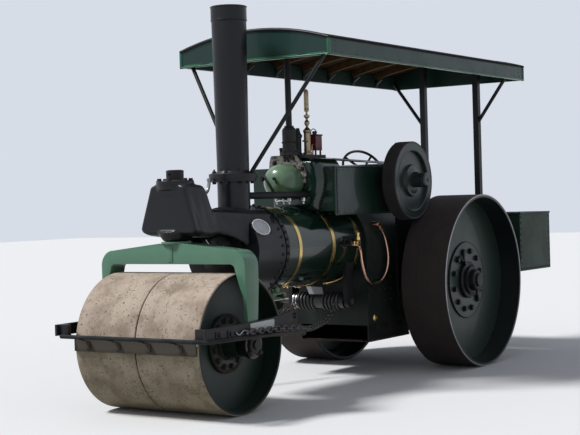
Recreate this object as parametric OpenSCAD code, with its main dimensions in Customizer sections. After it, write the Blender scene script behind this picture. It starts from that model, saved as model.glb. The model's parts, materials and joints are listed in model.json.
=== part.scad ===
// Steam road roller with a front roll in a swivelling fork, two rear wheels, a side flywheel and a canopy.
// +X is forward, +Y is the flywheel side, +Z is up. The origin is on the ground, below the middle.

/* [Layout] */
// Distance between the front roll's axle and the rear axle
wheelbase = 3340; // [3200:10:3500]
// From the roll's axle forward to the front of the scraper bar
front_reach = 646; // [630:2:680]
// From the rear axle back to the rear of the bunker
rear_reach = 1740; // [1650:10:1850]
// Running clearance between a shaft and its bore
seat = 0.3; // [0.2:0.1:0.4]

/* [Front roll] */
// Diameter of the front roll
roll_d = 1067; // [1040:1:1090]
// Width of each half of the roll
roll_half_w = 584; // [560:2:590]
// Gap between the two halves
roll_seam = 9; // [6:1:14]
// Thickness of the roll's rim
roll_rim_t = 26; // [18:1:34]
// Depth of the end disc inside the rim
roll_recess = 150; // [110:5:180]
// Thickness of the end disc
roll_disc_t = 18; // [12:1:26]
// Diameter of the bolted flange on the end disc
roll_flange_d = 450; // [400:5:520]
// Thickness of the bolted flange
roll_flange_t = 20; // [12:1:30]
// Diameter of the roll's hub
roll_hub_d = 200; // [170:5:240]
// Diameter of the roll's axle
roll_axle_d = 90; // [70:5:110]

/* [Fork] */
// Outer width of the fork over its legs
fork_w = 1394; // [1370:2:1430]
// Thickness of a fork leg just under the beam, across the machine
fork_leg_t = 92; // [86:1:96]
// Thickness of a fork leg's lower part
fork_foot_t = 32; // [26:2:40]
// Depth of the fork, along the machine
fork_depth = 170; // [140:5:200]
// Height of the underside of the fork's beam
fork_under_z = 1134; // [1110:2:1160]
// Height of the beam's top at the shoulders
fork_shoulder_z = 1240; // [1220:2:1260]
// Height of the beam's top at the middle
fork_top_z = 1292; // [1284:1:1298]
// Outer corner radius of the fork
fork_corner_r = 120; // [90:5:150]
// Diameter of the round boss at a leg's foot
fork_boss_d = 210; // [180:5:240]
// Diameter of the kingpin
kingpin_d = 110; // [90:5:130]
// Height of the thrust washer's top
thrust_z = 1305; // [1302:1:1310]
// Diameter of the thrust washer
thrust_d = 240; // [200:5:260]
// Diameter of the kingpin's cap
kingpin_cap_d = 136; // [124:2:150]
// Height of the top of the kingpin's cap
kingpin_cap_z = 1850; // [1830:5:1880]

/* [Fork arms and scraper] */
// Thickness of the side arms
arm_t = 22; // [16:1:30]
// From the roll's axle forward to the arm's front end
arm_front = 600; // [580:5:615]
// From the roll's axle back to the arm's rear end
arm_rear = 510; // [490:5:560]
// Diameter of the scraper bar
bar_d = 32; // [26:1:38]
// Height of the scraper bar
bar_z = 615; // [590:5:640]
// Thickness of the scraper plate
blade_t = 10; // [6:1:14]
// Gap between the scraper plate and the roll
blade_gap = 8; // [6:1:14]
// Height of the scraper plate's lower edge
blade_z = 500; // [470:5:520]
// Depth of the scraper plate
blade_h = 90; // [70:5:95]
// Width of a strap from the scraper bar to the plate
strap_w = 44; // [30:2:60]

/* [Headstock] */
// From the roll's axle forward to the headstock's front face
head_front = 110; // [105:1:125]
// Height of the headstock's top
head_top_z = 1740; // [1725:5:1755]
// Diameter of the round plate on the headstock
head_plate_d = 290; // [260:5:320]
// Thickness of the round plate
head_plate_t = 28; // [20:1:36]

/* [Boiler] */
// Height of the boiler's axis
boiler_z = 1195; // [1180:1:1210]
// Diameter of the boiler over its cladding
boiler_d = 696; // [680:2:712]
// Diameter of the smokebox
smokebox_d = 724; // [716:2:740]
// From the rear axle to the joint of boiler and smokebox
smokebox_back = 2327; // [2300:1:2350]
// Length of the smokebox
smokebox_l = 430; // [415:1:440]
// Diameter of the smokebox door
door_d = 420; // [380:5:430]
// Thickness of the smokebox door's rim
door_t = 20; // [14:1:26]
// Depth of the hollow behind the smokebox door
smokebox_hollow = 360; // [300:10:380]
// Length of the headstock's arch over the door
arch_l = 360; // [340:5:380]
// Clearance of that arch round the door
arch_gap = 45; // [40:1:60]
// From the smokebox's joint back to the first boiler band
band_back = 207; // [180:1:230]
// Distance between the boiler bands
band_pitch = 520; // [480:10:560]
// Width of a boiler band
band_w = 42; // [30:2:60]
// Thickness of a boiler band
band_t = 4; // [3:1:6]

/* [Firebox] */
// From the rear axle to the firebox's front
firebox_front = 1130; // [1110:1:1150]
// From the rear axle to the firebox's back
firebox_back = 330; // [310:1:350]
// Width of the firebox
firebox_w = 760; // [740:2:780]
// Height of the firebox's lower edge
firebox_z = 460; // [440:5:480]
// Height of the ashpan's floor
ashpan_z = 310; // [300:5:330]

// Diameter of the copper feed pipe
pipe_d = 22; // [18:1:28]
// Diameter of the feed pipe's valve body
valve_d = 60; // [50:2:70]

/* [Chimney] */
// From the rear axle to the chimney's axis
chimney_x = 2580; // [2570:1:2590]
// Outer diameter at the chimney's foot
chimney_foot_d = 262; // [250:2:270]
// Outer diameter at the chimney's top
chimney_top_d = 294; // [286:2:300]
// Height of the chimney's top
chimney_top_z = 3183; // [3120:5:3240]
// Wall of the chimney
chimney_wall = 8; // [5:1:12]
// Length of the straight band at the chimney's top
chimney_band_h = 120; // [100:5:140]
// Height of the joint under the chimney
chimney_joint_z = 1786; // [1780:1:1800]
// Diameter of the chimney's flanges
chimney_flange_d = 400; // [380:2:410]
// Thickness of the chimney's flange
chimney_flange_t = 42; // [30:2:50]
// Outer diameter of the chimney's base
base_tube_d = 266; // [260:1:276]

/* [Cylinder] */
// Height of the cylinder's axis
cylinder_z = 1752; // [1745:1:1760]
// From the rear axle to the front of the cylinder's casting
cylinder_front = 1800; // [1790:1:1810]
// From the rear axle to the back of the cylinder's casting
cylinder_back = 1440; // [1430:1:1460]
// Diameter of the domed front cover
cover_d = 296; // [280:2:310]
// Length of the domed front cover
cover_l = 150; // [130:2:170]
// Diameter of the exhaust pipe
exhaust_d = 58; // [50:1:64]
// Height of the exhaust pipe
exhaust_z = 1642; // [1630:2:1660]
// Width of the cylinder's casting
casting_w = 400; // [380:2:420]
// Diameter of the valve chest beside the cylinder
chest_d = 150; // [130:2:160]
// Height of the casting's top plate
casting_top_z = 1985; // [1975:1:1995]

/* [Fittings on the cylinder] */
// From the rear axle to the valve's housing and the canopy's column
valve_x = 1744; // [1740:1:1750]
// Diameter of the valve's housing
housing_d = 122; // [110:2:130]
// Height of the valve's housing
housing_z = 2226; // [2200:2:2240]
// From the rear axle to the whistle
whistle_x = 1605; // [1600:1:1612]
// Height of the whistle's top
whistle_z = 2558; // [2500:2:2600]
// From the rear axle to the lubricator
oiler_x = 1496; // [1490:1:1500]

/* [Motion covers] */
// Outer width over the side covers
motion_w = 840; // [820:2:850]
// Thickness of the sheet covers
sheet_t = 8; // [5:1:12]
// Height of the side covers' lower edge
motion_low_z = 1454; // [1440:2:1470]
// Height of the side covers' top edge
motion_top_z = 1876; // [1870:1:1886]
// From the rear axle to the covers' front
motion_front = 1700; // [1690:1:1710]
// From the rear axle to the covers' back
motion_back = 330; // [320:1:350]

/* [Crankshaft and flywheel] */
// Height of the crankshaft
crank_z = 1743; // [1738:1:1748]
// Diameter of the crankshaft
crank_d = 90; // [80:2:100]
// Diameter of the flywheel
flywheel_d = 707; // [680:1:740]
// Gap between the flywheel and the rear wheel
flywheel_gap = 8; // [6:1:14]
// Distance of the flywheel's outer face from the middle
flywheel_face_y = 628; // [620:1:650]
// Thickness of the flywheel's rim
flywheel_w = 128; // [100:2:140]
// Diameter of the shaft's boss
crank_boss_d = 130; // [120:2:140]
// How far the boss stands out of the flywheel's face
crank_boss_l = 145; // [120:5:160]

// Thickness of the guard over the gears
guard_t = 32; // [24:1:34]
// Radius of the arched cover over the crank
crank_cover_r = 165; // [160:1:175]

/* [Rear wheels] */
// Diameter of the rear wheels
wheel_d = 1600; // [1560:2:1640]
// Width of a rear wheel's rim
wheel_w = 450; // [430:2:470]
// Distance between the two rear wheels
wheel_gap = 1072; // [1060:2:1090]
// Thickness of a rear wheel's rim
wheel_rim_t = 28; // [20:1:36]
// Depth of the wheel's disc inside the rim
wheel_recess = 200; // [170:5:230]
// Thickness of the wheel's disc
wheel_disc_t = 20; // [12:1:28]
// Diameter of the bolted plate on the disc
hub_plate_d = 710; // [660:5:740]
// Thickness of the bolted plate
hub_plate_t = 12; // [8:1:16]
// Diameter of the wheel's hub
hub_d = 340; // [300:5:380]
// How far the hub stands out of the disc
hub_out = 130; // [110:5:150]
// Diameter of the rear axle
axle_d = 120; // [100:2:130]

/* [Tender] */
// Outer width of the footplate between the wheels
tender_w = 1000; // [960:2:1030]
// Height of the footplate's floor
floor_z = 760; // [740:5:780]
// Height of the footplate's sides
tender_side_z = 1400; // [1380:5:1420]
// Thickness of the tender's plates
plate_t = 10; // [8:1:14]
// Width of the bunker behind the wheels
bunker_w = 1800; // [1760:5:1860]
// From the rear axle back to the bunker's front
bunker_front = 1000; // [960:5:1020]
// Height of the bunker's floor
bunker_low_z = 820; // [800:5:850]
// Height of the bunker's top
bunker_top_z = 1400; // [1390:5:1410]
// Width of the coal space in the bunker
coal_w = 480; // [440:5:500]
// Radius of the hole for the drawbar pin
drawpin_r = 21; // [16:1:25]

/* [Canopy] */
// From the rear axle forward to the canopy's front
canopy_front = 2259; // [2240:1:2290]
// From the rear axle back to the canopy's rear
canopy_back = 1503; // [1490:1:1530]
// Width of the canopy
canopy_w = 1502; // [1480:2:1530]
// Height of the fascia's lower edge
fascia_low_z = 2760; // [2750:2:2775]
// Height of the fascia's top edge at the sides
fascia_top_z = 2912; // [2900:2:2925]
// Height of the roof's crown
roof_crown_z = 3028; // [3010:2:3045]
// Thickness of the roof's boards
roof_t = 14; // [10:1:20]
// Thickness of the fascia
fascia_t = 24; // [18:1:32]
// How far the roof overhangs the fascia
roof_over = 12; // [8:1:18]
// Number of ribs under the roof
rib_n = 7; // [5:1:9]
// Width of a rib
rib_t = 40; // [30:2:50]
// Size of the rear posts
post_w = 60; // [44:2:70]
// Distance between the rear posts' axes
post_gap = 620; // [590:5:660]
// From the rear axle back to the posts
post_x = 1310; // [1290:5:1330]
// Diameter of the column on the cylinder
column_d = 54; // [44:2:60]
// Width of the firehole door
fire_door_w = 300; // [280:5:320]

/* [Steering chain] */
// From the rear axle to the chain barrel's shaft
barrel_x = 1310; // [1300:1:1330]
// Height of the chain barrel's shaft
barrel_z = 690; // [680:1:700]
// Diameter of the chain barrel
barrel_d = 130; // [110:2:140]
// Length of the chain barrel
barrel_l = 520; // [480:5:560]
// From the rear axle to the steering wheel
wheel_at_x = -290; // [-310:5:-270]
// Height of the steering wheel's hub
wheel_at_z = 1835; // [1820:5:1850]
// Radius of the worm wheel over its teeth
worm_wheel_r = 100; // [92:1:104]
// Number of teeth on the worm wheel
worm_teeth = 30; // [28:1:32]
// Distance of the steering shaft from the middle
column_y = 478; // [476:1:484]
// Thickness of a chain link's wire
link_d = 13; // [12:0.5:14]
// Inner width of a chain link
link_w = 24; // [22:1:28]
// Number of links on each side
links = 29; // [27:1:31]
// The link left out between the fork's chain and the barrel's
chain_split = 12; // [10:1:16]
// Diameter of the worm on the steering shaft
worm_d = 58; // [52:1:60]

/* [Hidden] */
$fn = 64;

// The vehicle's middle lies halfway between its front and rear ends.
x_rear = -(wheelbase + front_reach - rear_reach) / 2;
x_roll = x_rear + wheelbase;
roll_r = roll_d / 2;
wheel_r = wheel_d / 2;
eps = 1;

roll_side_y = roll_seam / 2 + roll_half_w;
fork_out_y = fork_w / 2;
fork_in_y = fork_out_y - fork_leg_t;
bar_x = x_roll + front_reach - bar_d / 2;
wheel_in_y = wheel_gap / 2;
wheel_out_y = wheel_in_y + wheel_w;
disc_face_y = wheel_out_y - wheel_recess;
smokebox_r = smokebox_d / 2;
boiler_r = boiler_d / 2;
smokebox_front = smokebox_back + smokebox_l;
crank_x = sqrt(pow(wheel_r + flywheel_d / 2 + flywheel_gap, 2) - pow(crank_z - wheel_r, 2));
x_crank = x_rear + crank_x;
x_chimney = x_rear + chimney_x;
hinge_pin_d = 14;
knuckle_d = 28;
hinge_out = 24;
chest_y = casting_w / 2 + 56;
chest_z = cylinder_z + 22;
// The eye for the steering chain: its thickness, and the room in it beyond the link's wire.
eye_t = 12;
eye_play = 5;

// A cylinder along Y from y0 to y1.
module along_y(d, y0, y1, fn = 64) {
    translate([0, y0, 0]) rotate([-90, 0, 0]) cylinder(d = d, h = y1 - y0, $fn = fn);
}

// A cylinder along X from x0 to x1.
module along_x(d, x0, x1, fn = 64) {
    translate([x0, 0, 0]) rotate([0, 90, 0]) cylinder(d = d, h = x1 - x0, $fn = fn);
}

// A box from one corner to the other.
module block(low, high) {
    translate(low) cube(high - low);
}

// A round bar between two points.
module bar(p, q, d, fn = 16) {
    v = q - p;
    len = norm(v);
    translate(p)
        rotate([0, acos(v[2] / len), atan2(v[1], v[0])])
            cylinder(d = d, h = len, $fn = fn);
}

function unit(v) = v / norm(v);

// The direction of a route at its point i.
function heading(route, i) = unit(route[min(i + 1, len(route) - 1)] - route[max(i - 1, 0)]);

// A ring of points round a route's point i, square to the route; up is square to the route's plane.
function ring(route, i, r, sides, up) =
    let (side = unit(cross(heading(route, i), up)), top = cross(side, heading(route, i)))
        [for (k = [0 : sides - 1]) route[i] + r * (cos(360 * k / sides) * side + sin(360 * k / sides) * top)];

// A bent round bar or pipe: one skin swept along a route.
module swept(route, d, up, sides = 12) {
    last = (len(route) - 1) * sides;
    polyhedron(
        points = [for (i = [0 : len(route) - 1]) each ring(route, i, d / 2, sides, up)],
        faces = concat(
            [[for (k = [sides - 1 : -1 : 0]) k]],
            [[for (k = [0 : sides - 1]) last + k]],
            [for (i = [0 : len(route) - 2], k = [0 : sides - 1])
                let (a = i * sides + k, b = i * sides + (k + 1) % sides) [a, b, a + sides]],
            [for (i = [0 : len(route) - 2], k = [0 : sides - 1])
                let (a = i * sides + k, b = i * sides + (k + 1) % sides) [b, b + sides, a + sides]]
        )
    );
}

// Both sides of the machine, from one side's shape.
module both_sides() {
    children();
    mirror([0, 1, 0]) children();
}

// A turned shape about the Y axis from [radius, y] points.
module turned_y(points, fn = 96) {
    rotate([-90, 0, 0]) rotate_extrude($fn = fn) polygon(points);
}

// One half of the roll on the +Y side: rim, end disc, flange and hub.
module roll_half() {
    disc_y = roll_side_y - roll_recess;
    inner_r = roll_r - roll_rim_t;
    translate([x_roll, 0, roll_r])
        turned_y([
            [roll_axle_d / 2 + seat, roll_seam / 2],
            [roll_hub_d / 2, roll_seam / 2],
            [roll_hub_d / 2, disc_y - roll_disc_t],
            [inner_r, disc_y - roll_disc_t],
            [inner_r, roll_seam / 2],
            [roll_r - 4, roll_seam / 2],
            [roll_r, roll_seam / 2 + 4],
            [roll_r, roll_side_y - 6],
            [roll_r - 6, roll_side_y],
            [inner_r, roll_side_y],
            [inner_r, disc_y],
            [roll_flange_d / 2, disc_y],
            [roll_flange_d / 2, disc_y + roll_flange_t],
            [roll_hub_d / 2 + 14, disc_y + roll_flange_t],
            [roll_hub_d / 2, disc_y + roll_flange_t + 14],
            [roll_hub_d / 2, roll_side_y + 8],
            [roll_axle_d / 2 + seat, roll_side_y + 8]
        ], 128);
}

module roll_left() {
    color("tan") roll_half();
}

module roll_right() {
    color("tan") mirror([0, 1, 0]) roll_half();
}

// The fork seen from the front, as a plate.
module fork_front_view() {
    inner_r = 44;
    foot_y = fork_out_y - fork_foot_t;
    slope_z = fork_under_z - inner_r;
    difference() {
        union() {
            polygon([
                [-fork_out_y, 400], [-fork_out_y, fork_shoulder_z - fork_corner_r],
                [-fork_out_y + fork_corner_r, fork_shoulder_z], [-kingpin_d, fork_top_z],
                [kingpin_d, fork_top_z], [fork_out_y - fork_corner_r, fork_shoulder_z],
                [fork_out_y, fork_shoulder_z - fork_corner_r], [fork_out_y, 400]
            ]);
            for (s = [-1, 1])
                translate([s * (fork_out_y - fork_corner_r), fork_shoulder_z - fork_corner_r])
                    circle(r = fork_corner_r);
        }
        polygon([
            [-foot_y, 0], [foot_y, 0], [foot_y, slope_z - 190], [fork_in_y, slope_z],
            [-fork_in_y, slope_z], [-foot_y, slope_z - 190]
        ]);
        translate([-fork_in_y + inner_r, 0]) square([2 * (fork_in_y - inner_r), fork_under_z]);
        for (s = [-1, 1])
            translate([s * (fork_in_y - inner_r), fork_under_z - inner_r]) circle(r = inner_r);
    }
}

// The fork seen from the side: a full beam, then legs that taper to the axle's boss.
module fork_side_view() {
    half = fork_depth / 2;
    foot = fork_boss_d / 2;
    translate([0, roll_r]) circle(d = fork_boss_d);
    polygon([
        [-foot * 0.8, roll_r], [-half * 0.75, roll_r + 180], [-half, fork_under_z - 160],
        [-half, fork_top_z + eps], [half, fork_top_z + eps], [half, fork_under_z - 160],
        [half * 0.75, roll_r + 180], [foot * 0.8, roll_r]
    ]);
}

module fork() {
    color("seagreen") difference() {
        union() {
            translate([x_roll, 0, 0]) intersection() {
                translate([-fork_depth, 0, 0]) rotate([90, 0, 90])
                    linear_extrude(2 * fork_depth) fork_front_view();
                translate([0, fork_w, 0]) rotate([90, 0, 0])
                    linear_extrude(2 * fork_w) fork_side_view();
            }
            translate([x_roll, 0, roll_r]) both_sides() along_y(fork_boss_d - 24, fork_in_y, fork_out_y - eps);
            translate([x_roll, 0, fork_top_z - eps]) cylinder(d = thrust_d, h = thrust_z - fork_top_z + eps);
        }
        translate([x_roll, 0, roll_r]) along_y(roll_axle_d + 2 * seat, -fork_w, fork_w);
    }
}

module kingpin() {
    color("dimgray") translate([x_roll, 0, 0]) {
        translate([0, 0, thrust_z]) cylinder(d = kingpin_d, h = kingpin_cap_z - thrust_z);
        translate([0, 0, head_top_z + head_plate_t + seat])
            cylinder(d = kingpin_cap_d, h = kingpin_cap_z - head_top_z - head_plate_t - seat);
    }
}

module roll_axle() {
    end_y = fork_out_y + 20;
    color("dimgray") translate([x_roll, 0, roll_r]) {
        along_y(roll_axle_d, -end_y, end_y);
        both_sides() {
            along_y(roll_axle_d + 44, fork_out_y + seat, end_y - eps);
            along_y(roll_axle_d - 24, end_y - eps, end_y + 14);
        }
    }
}

// One side arm as a plate in the XZ plane.
module arm_view() {
    polygon([
        [x_roll - arm_rear, 660], [x_roll - arm_rear, 775], [x_roll - arm_rear + 30, 785],
        [x_roll - 180, 765], [x_roll + 100, 752], [x_roll + arm_front, 722],
        [x_roll + arm_front, 652], [x_roll + 100, 678], [x_roll - 200, 672]
    ]);
}

module fork_arms() {
    front = x_roll + arm_front;
    eye_d = link_d + 2 * eye_play;
    color("dimgray") both_sides() difference() {
        union() {
            translate([0, fork_out_y + arm_t, 0]) rotate([90, 0, 0]) linear_extrude(arm_t) arm_view();
            block([front - 60, fork_out_y - 90, bar_z - 14], [front - 24, fork_out_y + eps, 700]);
            block([front - 60, fork_out_y - 88, bar_z - 14], [bar_x - bar_d / 2 - seat, fork_out_y - 60, bar_z + 14]);
            at_link(0) translate([-eye_at, 0, 0]) {
                translate([0, -eye_t / 2, 0]) along_y(eye_d + 26, 0, eye_t);
                translate([-58, -eye_t / 2, -14]) cube([54, eye_t, 28]);
            }
        }
        at_link(0) translate([-eye_at, 0, 0]) along_y(eye_d, -20, 20);
    }
}

// The bar runs across in front of the roll, and along the +Y side outside the arm.
module scraper_bar() {
    y = fork_out_y - 56;
    side_y = fork_out_y + arm_t + bar_d / 2 + seat;
    route = [
        [bar_x, -y, bar_z], [bar_x, -y / 2, bar_z], [bar_x, 0, bar_z], [bar_x, y / 2, bar_z], [bar_x, y, bar_z],
        [bar_x - 6, y + 30, bar_z], [bar_x - 28, side_y - 16, bar_z - 2], [bar_x - 70, side_y, bar_z - 4],
        [x_roll + 200, side_y, bar_z - 12], [x_roll - 200, side_y, bar_z - 22],
        [x_roll - arm_rear - 120, side_y, bar_z - 55]
    ];
    swept(route, bar_d, [0, 0, 1]);
}

// One upright plate just in front of the roll, on four straps bent from under the bar.
module scraper_plate() {
    back = x_roll + roll_r + blade_gap;
    front = back + blade_t;
    under = bar_z - bar_d / 2 - seat;
    strap_t = 8;
    block([back, -roll_side_y + 8, blade_z], [front, roll_side_y - 8, blade_z + blade_h]);
    strap = [
        [front - eps, blade_z + 22], [front + strap_t, blade_z + 22], [front + strap_t, under - 24],
        [bar_x - 8, under - strap_t], [bar_x + bar_d / 2, under - strap_t], [bar_x + bar_d / 2, under],
        [bar_x - 12, under], [front - eps, under - 22]
    ];
    for (share = [-0.75, -0.25, 0.25, 0.75])
        translate([0, share * roll_side_y + strap_w / 2, 0]) rotate([90, 0, 0]) linear_extrude(strap_w) polygon(strap);
}

module scrapers() {
    color("dimgray") {
        scraper_bar();
        scraper_plate();
    }
}

// The outline of a box with round corners and sloping sides at x, k + 1 points a corner.
function station(x, top_w, low_w, low, high, r, k = 5) = [
    for (c = [[1, 1, 0], [-1, 1, 90], [-1, -1, 180], [1, -1, 270]], i = [0 : k])
        let (a = c[2] + 90 * i / k, half = c[1] > 0 ? top_w : low_w, mid_z = c[1] > 0 ? high - r : low + r)
            [x, c[0] * (half - r) + r * cos(a), mid_z + r * sin(a)]
];

// One skin through outlines with as many points each, from the front to the back.
module lofted(outlines) {
    n = len(outlines[0]);
    last = (len(outlines) - 1) * n;
    polyhedron(
        points = [for (o = outlines) each o],
        faces = concat(
            [[for (k = [n - 1 : -1 : 0]) k]],
            [[for (k = [0 : n - 1]) last + k]],
            [for (i = [0 : len(outlines) - 2], k = [0 : n - 1])
                let (a = i * n + k, b = i * n + (k + 1) % n) [a, b, a + n]],
            [for (i = [0 : len(outlines) - 2], k = [0 : n - 1])
                let (a = i * n + k, b = i * n + (k + 1) % n) [b, b + n, a + n]]
        )
    );
}

// The headstock swells from the square head over the fork to the smokebox's full width.
module headstock() {
    front = x_roll + head_front;
    joint = x_rear + smokebox_back + 210;
    top = head_top_z;
    body = [
        station(front, 165, 262, 1375, top - 12, 35),
        station(front - 15, 172, 268, 1368, top - 2, 40),
        station(front - 50, 178, 262, 1352, top, 45),
        station(front - 150, 188, 240, 1335, top, 50),
        station(front - 235, 192, 232, 1328, top - 4, 50),
        station(front - 270, 196, 232, 1327, 1680, 55),
        station(front - 300, 200, 232, 1326, 1600, 60),
        station(front - 330, 206, 232, 1326, 1552, 65),
        station(front - 390, 214, 236, 1325, 1545, 70),
        station(joint + 403, 236, 250, 1290, 1542, 80),
        station(joint + 293, 258, 268, 1235, 1538, 90),
        station(joint + 203, 285, 292, 1180, 1534, 105),
        station(joint + 103, 318, 322, 1110, 1530, 115),
        station(joint, 345, 345, 1040, 1530, 120)
    ];
    color("darkslategray") difference() {
        union() {
            lofted(body);
            translate([x_roll, 0, thrust_z + seat]) rotate_extrude($fn = 96)
                polygon([[0, 0], [100, 0], [118, 26], [150, 80], [0, 80]]);
            translate([x_roll, 0, head_top_z - 40]) cylinder(d = head_plate_d, h = 40 + head_plate_t, $fn = 96);
        }
        translate([x_roll, 0, 0]) cylinder(d = kingpin_d + 2 * seat, h = 4 * head_top_z);
        translate([x_rear, 0, boiler_z])
            along_x(smokebox_d + 2 * seat, smokebox_back - 100, smokebox_front + seat, 96);
        translate([x_chimney, 0, 1540]) cylinder(d = base_tube_d + 2 * seat, h = 400);
        translate([x_rear + smokebox_front, 0, boiler_z]) along_x(door_d + 2 * arch_gap, -eps, arch_l, 96);
    }
}

module smokebox() {
    color("darkslategray") {
        translate([x_rear, 0, boiler_z]) difference() {
            union() {
                along_x(smokebox_d, smokebox_back, smokebox_front, 96);
                along_x(smokebox_d + 12, smokebox_back, smokebox_back + 44, 96);
            }
            along_x(door_d - 40, smokebox_front - smokebox_hollow, smokebox_front + eps, 96);
        }
        at_door_hinge() {
            translate([0, 0, -18]) cylinder(d = knuckle_d, h = 36);
            translate([-hinge_out - eps, -knuckle_d / 2, -18]) cube([hinge_out + eps, knuckle_d / 2 + 6, 36]);
            translate([0, 0, -64]) cylinder(d = hinge_pin_d, h = 128);
        }
    }
}

// The smokebox door's hinge: its pin stands upright beside the door.
module at_door_hinge() {
    translate([x_rear + smokebox_front + hinge_out, -door_d / 2 - 19, boiler_z]) children();
}

module smokebox_door() {
    r = door_d / 2;
    strap = [[-14, 0], [-6, -12], [12, -7], [22, 34], [34, 124], [30, 154], [0, 154], [-14, 44]];
    color("darkslategray") difference() {
        union() {
            translate([x_rear + smokebox_front + seat, 0, boiler_z])
                rotate([0, 90, 0]) rotate_extrude($fn = 96)
                    polygon([[0, 0], [r, 0], [r, door_t], [r - 30, door_t + 6], [r * 0.6, door_t + 20],
                             [r * 0.3, door_t + 27], [26, door_t + 29], [26, door_t + 60], [0, door_t + 60]]);
            at_door_hinge() for (z = [-56, 20]) translate([0, 0, z]) {
                cylinder(d = knuckle_d, h = 36);
                linear_extrude(36) polygon(strap);
            }
        }
        at_door_hinge() translate([0, 0, -80]) cylinder(d = hinge_pin_d + 2 * seat, h = 160);
    }
}

module chimney_base() {
    low = 1480;
    color("darkslategray") translate([x_chimney, 0, 0]) difference() {
        union() {
            translate([0, 0, low]) cylinder(d = base_tube_d, h = chimney_joint_z - low);
            translate([0, 0, chimney_joint_z - 24]) cylinder(d = chimney_flange_d - 20, h = 24);
        }
        translate([0, 0, low - eps]) cylinder(d = base_tube_d - 40, h = chimney_joint_z);
        translate([-500, 0, boiler_z]) along_x(smokebox_d + 2 * seat, 0, 1000, 96);
    }
}

module chimney() {
    foot = chimney_foot_d / 2;
    top = chimney_top_d / 2;
    band_z = chimney_top_z - chimney_band_h;
    flange_top = chimney_joint_z + chimney_flange_t;
    color("darkslategray") translate([x_chimney, 0, 0]) rotate_extrude($fn = 96)
        polygon([
            [foot - chimney_wall, chimney_joint_z], [chimney_flange_d / 2, chimney_joint_z],
            [chimney_flange_d / 2, flange_top - 6], [chimney_flange_d / 2 - 6, flange_top],
            [foot + 14, flange_top], [foot, flange_top + 20], [top - 4, band_z - 4], [top, band_z],
            [top, chimney_top_z], [top - chimney_wall, chimney_top_z], [top - chimney_wall, band_z],
            [foot - chimney_wall, flange_top]
        ]);
}

module boiler() {
    color("darkgreen") translate([x_rear, 0, boiler_z])
        along_x(boiler_d, firebox_front, smokebox_back, 96);
}

module boiler_bands() {
    front = smokebox_back - band_back;
    places = [firebox_front + 60, front - band_pitch, front];
    color("gold") translate([x_rear, 0, boiler_z]) for (x = places)
        difference() {
            along_x(boiler_d + 2 * band_t + 2 * seat, x, x + band_w, 96);
            along_x(boiler_d + 2 * seat, x - eps, x + band_w + eps, 96);
        }
}

module firebox() {
    half = firebox_w / 2;
    color("darkgreen") {
        translate([x_rear, 0, 0]) difference() {
            union() {
                block([firebox_back, -half, firebox_z], [firebox_front, half, boiler_z]);
                translate([0, 0, boiler_z]) along_x(firebox_w, firebox_back, firebox_front, 96);
            }
            block([firebox_back - eps, -fire_door_w / 2 + 30, fire_door_z - 80],
                  [firebox_back + 90, fire_door_w / 2 - 30, fire_door_z + 80]);
        }
        at_fire_hinge() {
            for (z = [-75, 45]) translate([0, 0, z]) {
                cylinder(d = 26, h = 30);
                translate([0, -13, 0]) cube([22 + eps, 26, 30]);
            }
            translate([0, 0, -75]) cylinder(d = 12, h = 150);
        }
    }
}

// The firehole door's hinge stands on the backhead.
fire_door_z = 1000;
module at_fire_hinge() {
    translate([x_rear + firebox_back - 22, fire_door_w / 2 + 16, fire_door_z]) children();
}

module fire_door() {
    color("dimgray") difference() {
        union() {
            translate([x_rear + firebox_back - 6, 0, fire_door_z])
                block([-14, -fire_door_w / 2, -110], [0, fire_door_w / 2, 110]);
            at_fire_hinge() {
                translate([0, 0, -44]) cylinder(d = 26, h = 88);
                translate([-2, -60, -30]) cube([12, 60, 60]);
            }
            translate([x_rear + firebox_back - 20 - eps, 0, fire_door_z]) mirror([1, 0, 0]) {
                translate([0, -110, 0]) along_x(14, -2, 40, 24);
                translate([32, -110, -40]) cylinder(d = 14, h = 80, $fn = 24);
            }
        }
        at_fire_hinge() translate([0, 0, -100]) cylinder(d = 12 + 2 * seat, h = 200);
    }
}

module ashpan() {
    half = firebox_w / 2 - 20;
    color("dimgray") translate([x_rear, 0, 0]) difference() {
        block([firebox_back + 30, -half, ashpan_z], [firebox_front - 30, half, firebox_z]);
        block([firebox_back + 30 + plate_t, -half + plate_t, ashpan_z + plate_t],
              [firebox_front, half - plate_t, firebox_z + eps]);
    }
}

// The cylinder's casting seen from the front: a foot on the boiler and an arched head.
module casting_view() {
    half = casting_w / 2;
    polygon([
        [-half, 1480], [-half, 1760], [-half + 30, 1900], [-half + 60, casting_top_z - 30],
        [half - 60, casting_top_z - 30], [half - 30, 1900], [half, 1760], [half, 1480]
    ]);
}

module cylinder_casting() {
    color("darkgreen") translate([x_rear, 0, 0]) difference() {
        union() {
            translate([cylinder_back, 0, 0]) rotate([90, 0, 90])
                linear_extrude(cylinder_front - cylinder_back - 30) casting_view();
            translate([0, chest_y, chest_z]) {
                along_x(chest_d, motion_front + seat, cylinder_front + 30);
                along_x(chest_d - 30, cylinder_front + 29, cylinder_front + 42);
            }
        }
        translate([0, 0, boiler_z]) along_x(boiler_d + 2 * seat + 2 * band_t + 2, 0, smokebox_back, 96);
    }
}

// The arched flange round the top of the front cover, with a raised foot under the valve's housing.
module cylinder_flange() {
    z = cylinder_z;
    color("gray") translate([x_rear + cylinder_front - 30 + seat, 0, 0]) rotate([90, 0, 90]) linear_extrude(16)
        difference() {
            polygon([
                [176, z - 12], [190, z + 40], [178, z + 100], [150, z + 160], [110, z + 205], [92, z + 230],
                [-170, z + 230], [-186, z + 180], [-196, z + 80], [-186, z - 12]
            ]);
            translate([0, z]) circle(r = cover_d / 2 + 3, $fn = 96);
            translate([chest_y, chest_z]) circle(r = chest_d / 2 + 2, $fn = 96);
        }
}

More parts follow.
